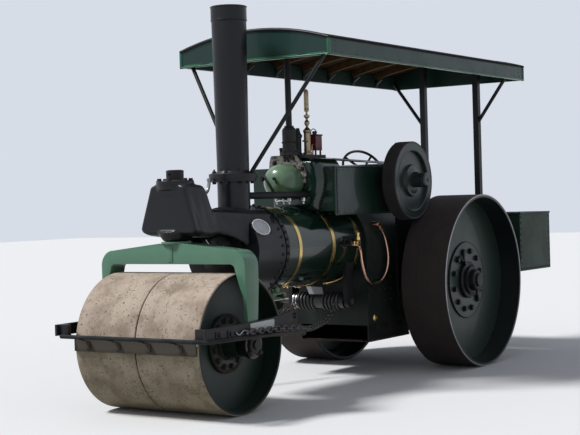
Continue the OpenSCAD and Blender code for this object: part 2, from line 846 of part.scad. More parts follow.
module cylinder_top() {
    half = casting_w / 2 - 40;
    color("dimgray") translate([x_rear, 0, 0])
        block([cylinder_back - 10, -half - 10, casting_top_z - 30], [cylinder_front - 40, half + 10, casting_top_z]);
}

module cylinder_cover() {
    r = cover_d / 2;
    color("darkseagreen") translate([x_rear + cylinder_front - 30, 0, cylinder_z])
        rotate([0, 90, 0]) rotate_extrude($fn = 96) {
            polygon([[0, 0], [r, 0], [r, cover_l - 60], [0, cover_l - 60]]);
            translate([0, cover_l - 60]) intersection() {
                scale([r / 50, 1]) circle(r = 50);
                square([r, 60]);
            }
        }
}

// The exhaust runs from the cylinder past its cover and bends in to the chimney's base.
module exhaust_pipe() {
    y = casting_w / 2 - 26;
    face = x_rear + cylinder_front - 30 + seat;
    route = [
        [face, y, exhaust_z], [face + 200, y, exhaust_z], [face + 420, y, exhaust_z], [face + 520, y - 12, exhaust_z],
        [face + 600, y - 45, exhaust_z], [face + 680, y - 95, exhaust_z], [face + 740, y - 140, exhaust_z]
    ];
    color("dimgray") difference() {
        swept(route, exhaust_d, [0, 0, 1], 16);
        translate([x_chimney, 0, exhaust_z - 100]) cylinder(d = base_tube_d + 2 * seat, h = 200);
    }
}

// Sheet covers on both sides of the motion, with a front sheet and a flat top.
module motion_covers() {
    out = motion_w / 2;
    color("darkgreen") translate([x_rear, 0, 0]) difference() {
        union() {
            both_sides() block([motion_back, out - sheet_t, motion_low_z], [motion_front, out, motion_top_z]);
            block([crank_x + crank_cover_r, -out, motion_top_z - sheet_t], [cylinder_back, out, motion_top_z]);
            both_sides() block([motion_front - 40, casting_w / 2 + 10, motion_low_z + 40],
                               [motion_front, out, motion_top_z]);
        }
        translate([crank_x, 0, crank_z]) along_y(crank_d + 60, -out - eps, out + eps);
    }
    crank_cover();
}

// Raised arch over the crank.
module crank_cover() {
    half = motion_w / 2 - sheet_t - seat;
    r = crank_cover_r;
    color("darkgreen") translate([x_crank, half, crank_z]) rotate([90, 0, 0]) linear_extrude(2 * half)
        difference() {
            circle(r = r, $fn = 96);
            circle(r = r - sheet_t, $fn = 96);
            translate([-r - eps, -r - eps]) square([2 * r + 2 * eps, r + eps]);
        }
}

// Bearings behind the side covers.
module crank_bearings() {
    face = motion_w / 2 - sheet_t - seat;
    translate([x_crank, 0, crank_z]) both_sides() difference() {
        along_y(crank_d + 90, face - 80, face);
        along_y(crank_d + 2 * seat, face - 100, face + 20);
    }
}

module crankshaft() {
    color("silver") translate([x_crank, 0, crank_z]) {
        along_y(crank_d, -motion_w / 2 - 60, flywheel_face_y + crank_boss_l - 12);
        turned_y([
            [0, flywheel_face_y + seat], [crank_boss_d / 2, flywheel_face_y + seat],
            [crank_boss_d / 2, flywheel_face_y + crank_boss_l - 12],
            [crank_boss_d / 2 - 12, flywheel_face_y + crank_boss_l], [0, flywheel_face_y + crank_boss_l]
        ], 64);
    }
}

module flywheel() {
    r = flywheel_d / 2;
    back = flywheel_face_y - flywheel_w;
    bore = crank_d / 2 + seat;
    color("darkgreen") translate([x_crank, 0, crank_z])
        turned_y([
            [bore, back + 10], [r * 0.3, back + 10], [r * 0.34, back + 50], [r * 0.74, back + 50],
            [r * 0.78, back], [r - 4, back], [r, back + 4], [r, flywheel_face_y - 4],
            [r - 4, flywheel_face_y], [r * 0.76, flywheel_face_y], [r * 0.74, flywheel_face_y - 30],
            [r * 0.42, flywheel_face_y - 30], [r * 0.39, flywheel_face_y], [bore, flywheel_face_y]
        ], 128);
}

// Closed guard over the gear train on the far side: crankshaft, second shaft and rear axle.
module gear_guard() {
    shafts = [
        // x from the rear axle, z, radius of the guard
        [crank_x, crank_z, 120], [430, 1400, 190], [200, 1080, 150]
    ];
    color("darkgreen") translate([x_rear, -motion_w / 2 - seat, 0]) rotate([90, 0, 0]) linear_extrude(guard_t)
        difference() {
            for (i = [0 : len(shafts) - 2]) hull() for (c = [shafts[i], shafts[i + 1]])
                translate([c[0], c[1]]) circle(r = c[2], $fn = 32);
            translate([crank_x, crank_z]) circle(d = crank_d + 20);
        }
}

// The copper feed pipe bends down from the valve on the boiler and up to the firebox.
module feed_pipe() {
    y = firebox_w / 2 + 40;
    fitting_d = valve_d - 16;
    valve_at = [1340, y, 1205];
    fitting_at = [984, y, 1360];
    bends = [
        // x from the rear axle, y, z
        [1300, y, 1140], [1281, y, 1036], [1230, y, 920], [1150, y, 850], [1066, y, 832], [960, y, 850],
        [870, y, 915], [825, y, 1000], [822, y, 1100], [866, y, 1230], [925, y, 1310]
    ];
    route = concat(
        [valve_at + (valve_d / 2 + seat) * unit(bends[0] - valve_at)],
        bends,
        [fitting_at + (fitting_d / 2 + seat) * unit(bends[len(bends) - 1] - fitting_at)]
    );
    low = fitting_at[2] - fitting_d / 2 - boiler_z;
    color("peru") translate([x_rear, 0, 0]) {
        swept(route, pipe_d, [0, 1, 0]);
        translate([valve_at[0], 0, valve_at[2]]) along_y(valve_d, boiler_r + seat, y + 16, 32);
        translate([fitting_at[0], 0, fitting_at[2]])
            along_y(fitting_d, sqrt(pow(firebox_w / 2, 2) - pow(low, 2)) + seat, y + 14, 32);
    }
}

module chain_barrel() {
    half = barrel_l / 2;
    color("dimgray") translate([x_rear + barrel_x, 0, barrel_z]) {
        along_y(barrel_d, -half, half);
        along_y(50, -column_y - 18, half + 70);
        translate([0, -column_y + 18, 0]) rotate([90, 0, 0]) linear_extrude(36) worm_wheel_view();
        for (side = [-1, 1], i = [0 : 4])
            translate([0, side * (half - 60 - i * 36), 0]) rotate([90, 0, 0])
                rotate_extrude($fn = 48) translate([barrel_d / 2 + link_d / 2, 0]) circle(d = link_d * 1.5, $fn = 16);
    }
}

// The worm wheel's outline, with a gap between two teeth on the line to the worm.
module worm_wheel_view() {
    step = 360 / worm_teeth;
    root = worm_wheel_r - tooth_h;
    polygon([for (i = [0 : worm_teeth - 1], p = [[root, 0.2], [worm_wheel_r, 0.36], [worm_wheel_r, 0.64], [root, 0.8]])
        let (a = 90 - column_tilt + step * (i + p[1])) p[0] * [cos(a), sin(a)]]);
}

// The worm's outline: cut with ring grooves at the teeth's pitch.
module worm() {
    pitch = 2 * PI * (worm_wheel_r - tooth_h / 2) / worm_teeth;
    r = worm_d / 2;
    crests = 3;
    rotate_extrude($fn = 48) polygon(concat(
        [[0, -(crests + 0.5) * pitch], [r - tooth_h, -(crests + 0.5) * pitch]],
        [for (i = [-crests : crests], p = [[-0.28, tooth_h], [-0.12, 0], [0.12, 0], [0.28, tooth_h]])
            [r - p[1], (i + p[0]) * pitch]],
        [[r - tooth_h, (crests + 0.5) * pitch], [0, (crests + 0.5) * pitch]]
    ));
}

module barrel_bracket() {
    half = barrel_l / 2;
    translate([x_rear + barrel_x, 0, 0]) both_sides() difference() {
        union() {
            translate([0, 0, barrel_z]) along_y(110, half + 10, half + 50);
            block([-55, half + 10, barrel_z], [55, half + 50, boiler_z - 120]);
        }
        translate([0, 0, barrel_z]) along_y(50 + 2 * seat, 0, half + 200);
        translate([0, 0, boiler_z]) along_x(boiler_d + 2 * seat, -200, 200, 96);
    }
}

// Bearings of the crankshaft, the chain barrel and the steering shaft.
module shaft_brackets() {
    color("dimgray") {
        crank_bearings();
        barrel_bracket();
        column_brackets();
    }
}

module rear_axle() {
    color("dimgray") translate([x_rear, 0, wheel_r]) along_y(axle_d, -disc_face_y - hub_out - 20, disc_face_y + hub_out + 20);
}

module axle_boxes() {
    color("dimgray") translate([x_rear, 0, 0]) both_sides() difference() {
        union() {
            block([-260, firebox_w / 2 + seat, 560], [600, firebox_w / 2 + seat + 2 * plate_t, motion_low_z - 20]);
            translate([0, 0, wheel_r]) along_y(260, motion_w / 2 - 60, motion_w / 2 + 60);
        }
        translate([0, 0, wheel_r]) along_y(axle_d + 2 * seat, 0, wheel_out_y);
    }
}

// Rim of the +Y rear wheel.
module wheel_rim() {
    inner = wheel_r - wheel_rim_t;
    translate([x_rear, 0, wheel_r]) turned_y([
        [inner, wheel_in_y], [wheel_r - 6, wheel_in_y], [wheel_r, wheel_in_y + 6],
        [wheel_r, wheel_out_y - 6], [wheel_r - 6, wheel_out_y], [inner, wheel_out_y]
    ], 160);
}

// Disc and bolted plate of the +Y rear wheel.
module wheel_disc() {
    outer = wheel_r - wheel_rim_t - seat;
    bore = hub_d / 2 + seat;
    translate([x_rear, 0, wheel_r]) turned_y([
        [bore, disc_face_y - wheel_disc_t], [outer - 50, disc_face_y - wheel_disc_t],
        [outer - 20, disc_face_y - 70], [outer, disc_face_y - 70], [outer, disc_face_y],
        [hub_plate_d / 2, disc_face_y], [hub_plate_d / 2, disc_face_y + hub_plate_t],
        [bore, disc_face_y + hub_plate_t]
    ], 160);
}

// Hub and cap of the +Y rear wheel.
module wheel_hub() {
    r = hub_d / 2;
    cap = disc_face_y + hub_out;
    bore = axle_d / 2 + seat;
    translate([x_rear, 0, wheel_r]) turned_y([
        [bore, wheel_in_y - 20], [r - 50, wheel_in_y - 20], [r - 50, disc_face_y - 60], [r, disc_face_y - 60],
        [r, disc_face_y + 30], [r - 20, disc_face_y + 40], [r - 40, disc_face_y + 44], [r - 44, disc_face_y + 70],
        [r - 70, disc_face_y + 76], [r - 74, cap - 10], [r - 84, cap], [bore, cap]
    ], 96);
}

module wheel_rim_left() { color("sienna") wheel_rim(); }
module wheel_rim_right() { color("sienna") mirror([0, 1, 0]) wheel_rim(); }
module wheel_disc_left() { color("darkgreen") wheel_disc(); }
module wheel_disc_right() { color("darkgreen") mirror([0, 1, 0]) wheel_disc(); }
module wheel_hub_left() { color("dimgray") wheel_hub(); }
module wheel_hub_right() { color("dimgray") mirror([0, 1, 0]) wheel_hub(); }

// Footplate between the rear wheels: floor and two side sheets.
module footplate() {
    half = tender_w / 2;
    color("darkgreen") translate([x_rear, 0, 0]) {
        block([-bunker_front, -half, floor_z], [-280, half, floor_z + plate_t]);
        both_sides() block([-bunker_front, half - plate_t, floor_z], [-280, half, tender_side_z]);
    }
}

// Tank and bunker behind the wheels, with an open coal space in the middle.
module bunker() {
    half = bunker_w / 2;
    color("darkgreen") translate([x_rear, 0, 0]) difference() {
        block([-rear_reach, -half, bunker_low_z], [-bunker_front - seat, half, bunker_top_z]);
        block([-rear_reach + plate_t, -coal_w / 2, bunker_low_z + 140],
              [-bunker_front - 60, coal_w / 2, bunker_top_z + eps]);
    }
}

module drawbar() {
    low = bunker_low_z - 110;
    color("dimgray") translate([x_rear, 0, 0]) difference() {
        union() {
            block([-rear_reach + 60, -90, low], [-rear_reach + 260, 90, bunker_low_z]);
            translate([-rear_reach + 60, 0, low]) cylinder(d = 100, h = 40);
        }
        translate([-rear_reach + 60, 0, 0]) cylinder(r = drawpin_r, h = bunker_low_z - 10);
        block([-rear_reach - 50, -60, low + 40], [-rear_reach + 160, 60, bunker_low_z - 40]);
    }
}

// The steering shaft runs over the worm wheel, at this tilt and to these ends.
tooth_h = 9;
column_tilt = atan2(wheel_at_z - barrel_z - worm_wheel_r, barrel_x - wheel_at_x);
column_way = [cos(column_tilt), 0, -sin(column_tilt)];
column_mid = [x_rear + barrel_x, -column_y, barrel_z]
    + (worm_wheel_r + worm_d / 2 - tooth_h + 3) * [sin(column_tilt), 0, cos(column_tilt)];
function column_at(s) = column_mid + s * column_way;
column_top = -(column_mid[0] - x_rear - wheel_at_x) / column_way[0];

module steering_column() {
    color("dimgray") {
        bar(column_at(column_top), column_at(150), 32, 32);
        translate(column_mid) rotate([0, 90 + column_tilt, 0]) worm();
        steering_wheel();
    }
}

// Brackets that hold the steering shaft off the firebox's side and off the axle's plate.
module column_brackets() {
    for (place = [[-300, firebox_w / 2 + seat], [-1400, firebox_w / 2 + plate_t * 2 + 2 * seat]])
        difference() {
            union() {
                bar(column_at(place[0] - 30), column_at(place[0] + 30), 64, 32);
                translate(column_at(place[0])) rotate([0, column_tilt, 0])
                    translate([-25, 0, -20]) cube([50, column_y - place[1], 40]);
            }
            bar(column_at(place[0] - 80), column_at(place[0] + 80), 32 + 2 * seat, 32);
        }
}

module steering_wheel() {
    translate(column_at(column_top)) rotate([0, 90 + column_tilt, 0]) {
        rotate_extrude($fn = 64) translate([220, 0]) circle(d = 26, $fn = 16);
        for (a = [0 : 90 : 270]) rotate([0, 0, a + 45]) translate([0, 0, -7]) block([20, -10, 0], [212, 10, 14]);
        translate([0, 0, -25]) cylinder(d = 70, h = 50);
    }
}

// The reversing lever on the backhead, and the regulator rod above the motion covers.
module control_levers() {
    lever_x = firebox_back - 40;
    color("silver") translate([x_rear, 0, 0]) {
        bar([lever_x, 250, 1250], [lever_x + 20, 250, 2110], 26);
        block([lever_x - 14, 225, 1240], [firebox_back - seat, 275, 1340]);
        bar([cylinder_back - 10 - seat, 120, 1955], [motion_back - 40, 120, 1925], 22);
    }
}

// The roof's arch as a curve across the machine, offset down by d.
function arch_z(y, d = 0) = roof_crown_z - d - (roof_crown_z - fascia_top_z) * pow(y / (canopy_w / 2), 2);
arch_n = 16;
under = 0.8 + seat;
function arch_points(half, d) = [for (i = [0 : arch_n]) let (y = -half + 2 * half * i / arch_n) [y, arch_z(y, d)]];
function reversed(v) = [for (i = [len(v) - 1 : -1 : 0]) v[i]];

module canopy_roof() {
    half = canopy_w / 2 + roof_over;
    color("black") translate([x_rear - canopy_back - roof_over, 0, 0]) rotate([90, 0, 90])
        linear_extrude(canopy_front + canopy_back + 2 * roof_over)
            polygon(concat(arch_points(half, 0), reversed(arch_points(half, roof_t))));
}

module canopy_fascia() {
    half = canopy_w / 2;
    color("teal") translate([x_rear, 0, 0]) {
        for (x = [-canopy_back, canopy_front - fascia_t])
            translate([x, 0, 0]) rotate([90, 0, 90]) linear_extrude(fascia_t)
                polygon(concat([[half, fascia_low_z], [-half, fascia_low_z]], arch_points(half, roof_t + seat)));
        both_sides()
            block([-canopy_back + fascia_t, half - fascia_t, fascia_low_z],
                  [canopy_front - fascia_t, half, arch_z(half, roof_t + seat)]);
    }
}

// Ribs at an even pitch, but the one by the column stands against it.
rib_pitch = (canopy_front + canopy_back) / (rib_n + 1);
column_rib = round((valve_x + canopy_back + (column_d + rib_t) / 2) / rib_pitch);
function rib_x(i) = i == column_rib ? valve_x + column_d / 2 + seat + rib_t / 2 : i * rib_pitch - canopy_back;

module canopy_ribs() {
    half = canopy_w / 2 - fascia_t;
    color("saddlebrown") for (i = [1 : rib_n])
        translate([x_rear + rib_x(i) - rib_t / 2, 0, 0]) rotate([90, 0, 90]) linear_extrude(rib_t)
            polygon(concat(arch_points(half, roof_t + under), reversed(arch_points(half, roof_t + 60))));
}

module canopy_posts() {
    color("dimgray") {
        translate([x_rear - post_x, 0, 0]) both_sides() {
            block([-post_w / 2, post_gap / 2 - post_w / 2, bunker_top_z + seat],
                  [post_w / 2, post_gap / 2 + post_w / 2, arch_z(post_gap / 2 + post_w / 2, roof_t + under)]);
            bar([0, post_gap / 2, 2330], [0, canopy_w / 2 - fascia_t - 60, fascia_low_z + 60], 36);
        }
        canopy_column();
    }
}

module canopy_column() {
    foot_z = housing_z + seat;
    translate([x_rear + valve_x, 0, foot_z]) {
        cylinder(d = 84, h = 12);
        cylinder(d = column_d, h = arch_z(column_d / 2, roof_t + under) - foot_z);
    }
}

// Stays from the chimney's flange to the canopy's front corners.
module canopy_stays() {
    stay_r = 17;
    foot_z = chimney_joint_z + chimney_flange_t + seat;
    foot = [x_chimney - 148, 78, foot_z];
    top = [x_rear + canopy_front - fascia_t - 34, canopy_w / 2 - fascia_t - 34, fascia_low_z + 40];
    way = unit(top - foot);
    color("dimgray") both_sides()
        bar(foot + [0, 0, stay_r * norm([way[0], way[1]])], top, 2 * stay_r);
}

module safety_valves() {
    r = housing_d / 2;
    h = housing_z - casting_top_z;
    color("gray") translate([x_rear + valve_x, 0, casting_top_z]) {
        rotate_extrude() polygon([
            [0, seat], [r + 24, seat], [r + 24, 22], [r + 8, 30], [r, 70], [r, h - 26], [r - 8, h - 8], [r - 22, h], [0, h]
        ]);
        translate([-105, 20, 0]) rotate_extrude() polygon([
            [0, seat], [40, seat], [40, 16], [30, 22], [30, 150], [38, 156], [38, 176], [26, 186], [16, 226],
            [16, 236], [0, 236]
        ]);
    }
}

module whistle() {
    h = whistle_z - casting_top_z;
    color("gold") translate([x_rear + whistle_x, 95, casting_top_z]) rotate_extrude($fn = 48) polygon([
        [0, seat], [40, seat], [40, 20], [30, 28], [30, 190], [36, 200], [36, 214], [12, 240], [10, 246],
        [24, 272], [24, 284], [10, 306], [10, 316], [26, 328], [26, 346], [9, 352], [9, h - 60],
        [15, h - 66], [15, 378], [21, 378], [21, h - 34], [18, h - 12], [8, h - 6], [8, h], [0, h]
    ]);
}

module lubricator() {
    color("darkred") translate([x_rear + oiler_x, 92, casting_top_z]) {
        for (x = [-44, 32], y = [-46, 34]) block([x, y, seat], [x + 12, y + 12, 41]);
        block([-50, -52, 40], [50, 52, 170]);
        block([-54, -56, 169], [54, 56, 178]);
        translate([0, 10, 177]) cylinder(d = 40, h = 22);
        translate([-49, 0, 110]) {
            along_x(18, -26, 0, 24);
            translate([-26, -8, -50]) cube([10, 16, 58]);
            translate([0, 0, -44]) along_x(12, -66, -20, 24);
        }
    }
}

// The near steering chain hangs from the arm's eye to the barrel.
chain_eye = [x_roll - arm_rear - 16, fork_out_y + arm_t / 2, 712];
chain_end = [
    x_rear + barrel_x + barrel_d / 2 + link_d * 1.75 + seat,
    barrel_l / 2 - 60,
    barrel_z
];
chain_sag = 150;
function chain_at(t) = chain_eye + (chain_end - chain_eye) * t - [0, 0, chain_sag * (1 - pow(2 * t - 1, 4))];
steps = 120;

// Pairs of length along the chain and t, one for each step.
function lengths(i = 0, s = 0) = i > steps ? [] : concat([[s, i / steps]],
    lengths(i + 1, s + (i < steps ? norm(chain_at((i + 1) / steps) - chain_at(i / steps)) : 0)));
chain_table = lengths();
link_r = (link_w + link_d) / 2;
link_pitch = (chain_table[steps][0] - link_d - eye_play) / links;
link_s = link_pitch - 2 * link_r + link_d + seat;
eye_bow = link_r - sqrt(pow(link_r, 2) - pow(eye_t / 2, 2));
eye_at = link_s / 2 + link_r + eye_play - 1.7 * eye_bow;
function link_at(k) = chain_at(lookup(eye_at + k * link_pitch, chain_table));

// One link: two bent ends and two straight sides.
module link() {
    for (s = [-1, 1]) {
        translate([s * link_s / 2, 0, 0]) rotate([0, 0, s > 0 ? -90 : 90])
            rotate_extrude(angle = 180, $fn = 48) translate([link_r, 0]) circle(d = link_d, $fn = 24);
        translate([-link_s / 2, s * link_r, 0]) rotate([0, 90, 0]) cylinder(d = link_d, h = link_s, $fn = 24);
    }
}

// The place and direction of link k along the chain.
module at_link(k) {
    way = unit(link_at(k + 0.5) - link_at(k - 0.5));
    translate(link_at(k)) rotate([0, -asin(way[2]), atan2(way[1], way[0])]) children();
}

// Links from the first to the last, each turned a quarter from the one before.
module chain(first, last) {
    for (k = [first : last]) at_link(k) rotate([k % 2 == 0 ? 0 : 90, 0, 0]) link();
}

module fork_chains() {
    color("dimgray") both_sides() chain(0, chain_split - 1);
}

module steering_chains() {
    color("dimgray") both_sides() chain(chain_split + 1, links - 1);
}

roll_left();
roll_right();
fork();
kingpin();
roll_axle();
fork_arms();
scrapers();
headstock();
smokebox();
smokebox_door();
chimney_base();
chimney();
boiler();
boiler_bands();
firebox();
ashpan();
cylinder_casting();
cylinder_flange();
cylinder_cover();
cylinder_top();
exhaust_pipe();
motion_covers();
crankshaft();
flywheel();
gear_guard();
feed_pipe();
chain_barrel();
shaft_brackets();
fire_door();
rear_axle();
axle_boxes();
wheel_rim_left();
wheel_disc_left();
wheel_hub_left();
wheel_rim_right();
wheel_disc_right();
wheel_hub_right();
footplate();
bunker();
drawbar();
steering_column();
control_levers();
canopy_roof();
canopy_fascia();
canopy_ribs();
canopy_posts();
canopy_stays();
safety_valves();
whistle();
lubricator();
fork_chains();
steering_chains();
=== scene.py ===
"""Looks of a steam road roller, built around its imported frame."""
import bisect
import itertools
import json
import math

import bmesh
import bpy
from mathutils import Matrix, Vector


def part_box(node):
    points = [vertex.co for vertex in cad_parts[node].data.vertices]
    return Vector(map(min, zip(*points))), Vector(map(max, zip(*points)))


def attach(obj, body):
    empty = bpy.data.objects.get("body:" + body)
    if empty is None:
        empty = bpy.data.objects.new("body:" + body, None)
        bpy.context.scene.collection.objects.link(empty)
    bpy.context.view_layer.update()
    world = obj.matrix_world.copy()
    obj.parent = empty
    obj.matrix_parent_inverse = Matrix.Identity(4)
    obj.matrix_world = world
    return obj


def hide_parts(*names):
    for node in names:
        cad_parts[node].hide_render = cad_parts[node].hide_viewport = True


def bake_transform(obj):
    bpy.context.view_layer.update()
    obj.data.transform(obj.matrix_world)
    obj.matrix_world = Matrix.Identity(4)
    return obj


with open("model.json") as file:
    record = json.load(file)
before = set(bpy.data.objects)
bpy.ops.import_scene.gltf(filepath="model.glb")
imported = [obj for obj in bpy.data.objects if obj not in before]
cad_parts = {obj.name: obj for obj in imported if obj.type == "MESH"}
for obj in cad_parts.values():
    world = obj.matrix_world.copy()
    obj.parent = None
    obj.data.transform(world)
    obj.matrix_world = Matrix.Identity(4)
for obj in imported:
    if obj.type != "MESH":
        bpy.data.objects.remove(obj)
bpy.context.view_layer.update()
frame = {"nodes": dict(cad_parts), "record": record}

bl_info = {
    "name": "Steam road roller",
    "version": (1, 0, 0),
    "blender": (4, 5, 0),
    "location": "View3D > Sidebar > Roller",
    "description": "Dresses the frame of a steam road roller: paint, bolts, fittings and stage",
    "category": "Object",
}

# Places and sizes that the pieces share, in metres. The boxes are read from the frame.
ROLL_LOW, ROLL_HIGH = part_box("roll_left")
ROLL_R = ROLL_HIGH.z / 2
X_ROLL = (ROLL_LOW.x + ROLL_HIGH.x) / 2
WHEEL_LOW, WHEEL_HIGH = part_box("wheel_rim_left")
WHEEL_R = WHEEL_HIGH.z / 2
X_REAR = (WHEEL_LOW.x + WHEEL_HIGH.x) / 2
FLY_LOW, FLY_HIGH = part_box("flywheel")
FLY_R = (FLY_HIGH.z - FLY_LOW.z) / 2
X_CRANK = (FLY_LOW.x + FLY_HIGH.x) / 2
Z_CRANK = (FLY_LOW.z + FLY_HIGH.z) / 2
BOILER_LOW, BOILER_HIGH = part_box("boiler")
BOILER_R = (BOILER_HIGH.z - BOILER_LOW.z) / 2
Z_BOILER = (BOILER_LOW.z + BOILER_HIGH.z) / 2
CHIMNEY_LOW, CHIMNEY_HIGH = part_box("chimney")
X_CHIMNEY = (CHIMNEY_LOW.x + CHIMNEY_HIGH.x) / 2
SMOKEBOX_LOW, SMOKEBOX_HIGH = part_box("smokebox")
COVERS_LOW, COVERS_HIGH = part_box("motion_covers")
COVER_LOW, COVER_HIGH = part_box("cylinder_cover")
FIREBOX_LOW, FIREBOX_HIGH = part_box("firebox")
BUNKER_LOW, BUNKER_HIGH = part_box("bunker")
FLOOR_LOW, FLOOR_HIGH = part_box("footplate")
FASCIA_LOW, FASCIA_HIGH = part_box("canopy_fascia")
ROOF_LOW, ROOF_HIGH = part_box("canopy_roof")
FORK_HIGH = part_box("fork")[1]
TOP_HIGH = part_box("cylinder_top")[1]
KINGPIN_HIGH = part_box("kingpin")[1]
HEAD_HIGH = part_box("headstock")[1]
DOOR_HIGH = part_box("smokebox_door")[1]
ROOF_T = 0.014
ARM_OUT = FORK_HIGH.y + 0.022
SMOKEBOX_R = SMOKEBOX_HIGH.y - 0.006
COVERS_TOP = COVERS_HIGH.z - 0.032
FASCIA_SIDE_Z = 2.912
LINK_D = 0.013
LINK_R = 0.0185
LINK_PITCH = 0.0534
# The chain barrel, whose x is from the rear axle, and the feed pipe's distance from the middle.
BARREL_X = 1.31
BARREL_Z = 0.69
BARREL_R = 0.065
FEED_Y = 0.436
# A washout plug's outline, as (radius, distance) points.
PLUG = [(0, 0.01), (0.02, 0.01), (0.028, 0.006), (0.034, 0.0)]
ALONG_X = Vector((1, 0, 0))
ALONG_Y = Vector((0, 1, 0))
UP = Vector((0, 0, 1))


# Shapes

def at(x, y, z):
    """A place whose x is measured from the rear axle."""
    return Vector((X_REAR + x, y, z))


def frame_at(place, ahead):
    """A matrix at place whose Z axis points ahead."""
    return Matrix.Translation(place) @ Vector(ahead).to_track_quat("Z", "Y").to_matrix().to_4x4()


def rod(bm, place, ahead, length, radius, tip=None, sides=32):
    """A round bar, or a cone where tip differs from radius."""
    matrix = frame_at(place, ahead) @ Matrix.Translation((0, 0, length / 2))
    end = radius if tip is None else tip
    bmesh.ops.create_cone(
        bm, cap_ends=True, segments=sides, radius1=radius, radius2=end, depth=length, matrix=matrix)


def bar(bm, start, end, radius, sides=16):
    """A round bar between two points."""
    way = Vector(end) - Vector(start)
    rod(bm, start, way, way.length, radius, sides=sides)


def bolt(bm, place, ahead, size):
    """A hexagon head on a washer; size is the head's width."""
    ahead = Vector(ahead).normalized()
    rod(bm, place, ahead, size * 0.14, size * 0.72, sides=16)
    rod(bm, Vector(place) + ahead * size * 0.13, ahead, size * 0.5, size * 0.56, size * 0.5, sides=6)


def bolt_ring(bm, centre, ahead, radius, count, size, start=0.0):
    """Bolts on a circle round a centre."""
    matrix = frame_at(centre, ahead)
    for i in range(count):
        angle = start + 2 * math.pi * i / count
        bolt(bm, matrix @ Vector((radius * math.cos(angle), radius * math.sin(angle), 0)), ahead, size)


def head(bm, place, radius, sides=8):
    """A round rivet head."""
    bmesh.ops.create_uvsphere(
        bm, u_segments=sides, v_segments=sides // 2, radius=radius, matrix=Matrix.Translation(place))


def rivets(bm, start, end, pitch, radius=0.008):
    """A row of round rivet heads from start to end."""
    start, end = Vector(start), Vector(end)
    count = max(1, round((end - start).length / pitch))
    for i in range(count + 1):
        head(bm, start.lerp(end, i / count), radius)


def verts_of(geometry):
    """The vertices among the geometry that an operator gives back."""
    return [v for v in geometry if isinstance(v, bmesh.types.BMVert)]


def edges_of(geometry):
    """The edges among the geometry that an operator gives back."""
    return [e for e in geometry if isinstance(e, bmesh.types.BMEdge)]


def rounded(bm, edges, width, segments=2, clamp=False):
    """Rounds some edges, where clamp is on only as far as they have room."""
    bmesh.ops.bevel(
        bm, geom=edges, offset=width, offset_type="OFFSET", segments=segments, profile=0.5, affect="EDGES",
        clamp_overlap=clamp, material=-1)


def block(bm, low, high, edge=0.002, turn=None):
    """A box from low to high with rounded edges, turned about its middle."""
    low, high = Vector(low), Vector(high)
    matrix = Matrix.Translation((low + high) / 2) @ (turn or Matrix())
    matrix = matrix @ Matrix.Diagonal((*(high - low), 1.0))
    verts = bmesh.ops.create_cube(bm, size=1.0, matrix=matrix)["verts"]
    rounded(bm, list({e for v in verts for e in v.link_edges}), edge)


def turned(bm, profile, place, ahead, steps=48):
    """Spins (radius, distance) points about an axis through place, closed into a solid."""
    matrix = frame_at(place, ahead)
    profile = list(profile)
    if profile[0][0] == 0 and profile[-1][0] > 0:
        profile.append((0, profile[-1][1]))
    verts = [bm.verts.new(matrix @ Vector((radius, 0, along))) for radius, along in profile]
    edges = [bm.edges.new(pair) for pair in zip(verts, verts[1:])]
    if profile[0][0] > 0 and profile[-1][0] > 0:
        edges.append(bm.edges.new((verts[-1], verts[0])))
    bmesh.ops.spin(
        bm, geom=verts + edges, cent=matrix.translation, axis=matrix.col[2].xyz, angle=2 * math.pi,
        steps=steps, use_merge=True, use_duplicate=False)


def spread(points, steps=8):
    """Points on a smooth curve through the given points."""
    points = [Vector(p) for p in points]
    ends = [2 * points[0] - points[1], *points, 2 * points[-1] - points[-2]]
    route = []
    for a, b, c, d in zip(ends, ends[1:], ends[2:], ends[3:]):
        for i in range(steps):
            t = i / steps
            route.append(
                0.5 * (2 * b + (c - a) * t + (2 * a - 5 * b + 4 * c - d) * t * t
                       + (3 * b - a - 3 * c + d) * t * t * t))
    return [*route, points[-1]]


def smooth_run(start, *offsets):
    """A smooth curve through points that are measured from start."""
    return spread([start + Vector(p) for p in offsets])


def tube(bm, route, radius, sides=12, closed=False):
    """A round tube along a route, with capped ends unless it is closed."""
    count = len(route)
    rings = []
    for i, place in enumerate(route):
        before = route[i - 1] if closed or i > 0 else place
        after = route[(i + 1) % count] if closed or i < count - 1 else place
        verts = bmesh.ops.create_circle(
            bm, cap_ends=False, segments=sides, radius=radius,
            matrix=frame_at(place, after - before))["verts"]
        rings.append(list({e for v in verts for e in v.link_edges}))
    pairs = list(zip(rings, rings[1:]))
    if closed:
        pairs.append((rings[-1], rings[0]))
    for a, b in pairs:
        bmesh.ops.bridge_loops(bm, edges=a + b)
    if not closed:
        bmesh.ops.holes_fill(bm, edges=rings[0] + rings[-1], sides=sides)


def side_plate(bm, outline, y, thickness, edge=0.0):
    """A flat plate seen from the left, with (x from the rear axle, z) points; it grows inward from y."""
    face = bm.faces.new([bm.verts.new(at(x, y, z)) for x, z in outline])
    grown = bmesh.ops.extrude_face_region(bm, geom=[face])["geom"]
    bmesh.ops.translate(bm, verts=verts_of(grown), vec=(0, -thickness, 0))
    if edge:
        rounded(bm, edges_of(grown), edge)


def both_sides(bm):
    """Adds the mirror image, across the machine's middle, of all that is drawn so far."""
    copy = bmesh.ops.duplicate(bm, geom=[*bm.verts, *bm.edges, *bm.faces])["geom"]
    bmesh.ops.scale(bm, verts=verts_of(copy), vec=(1, -1, 1))


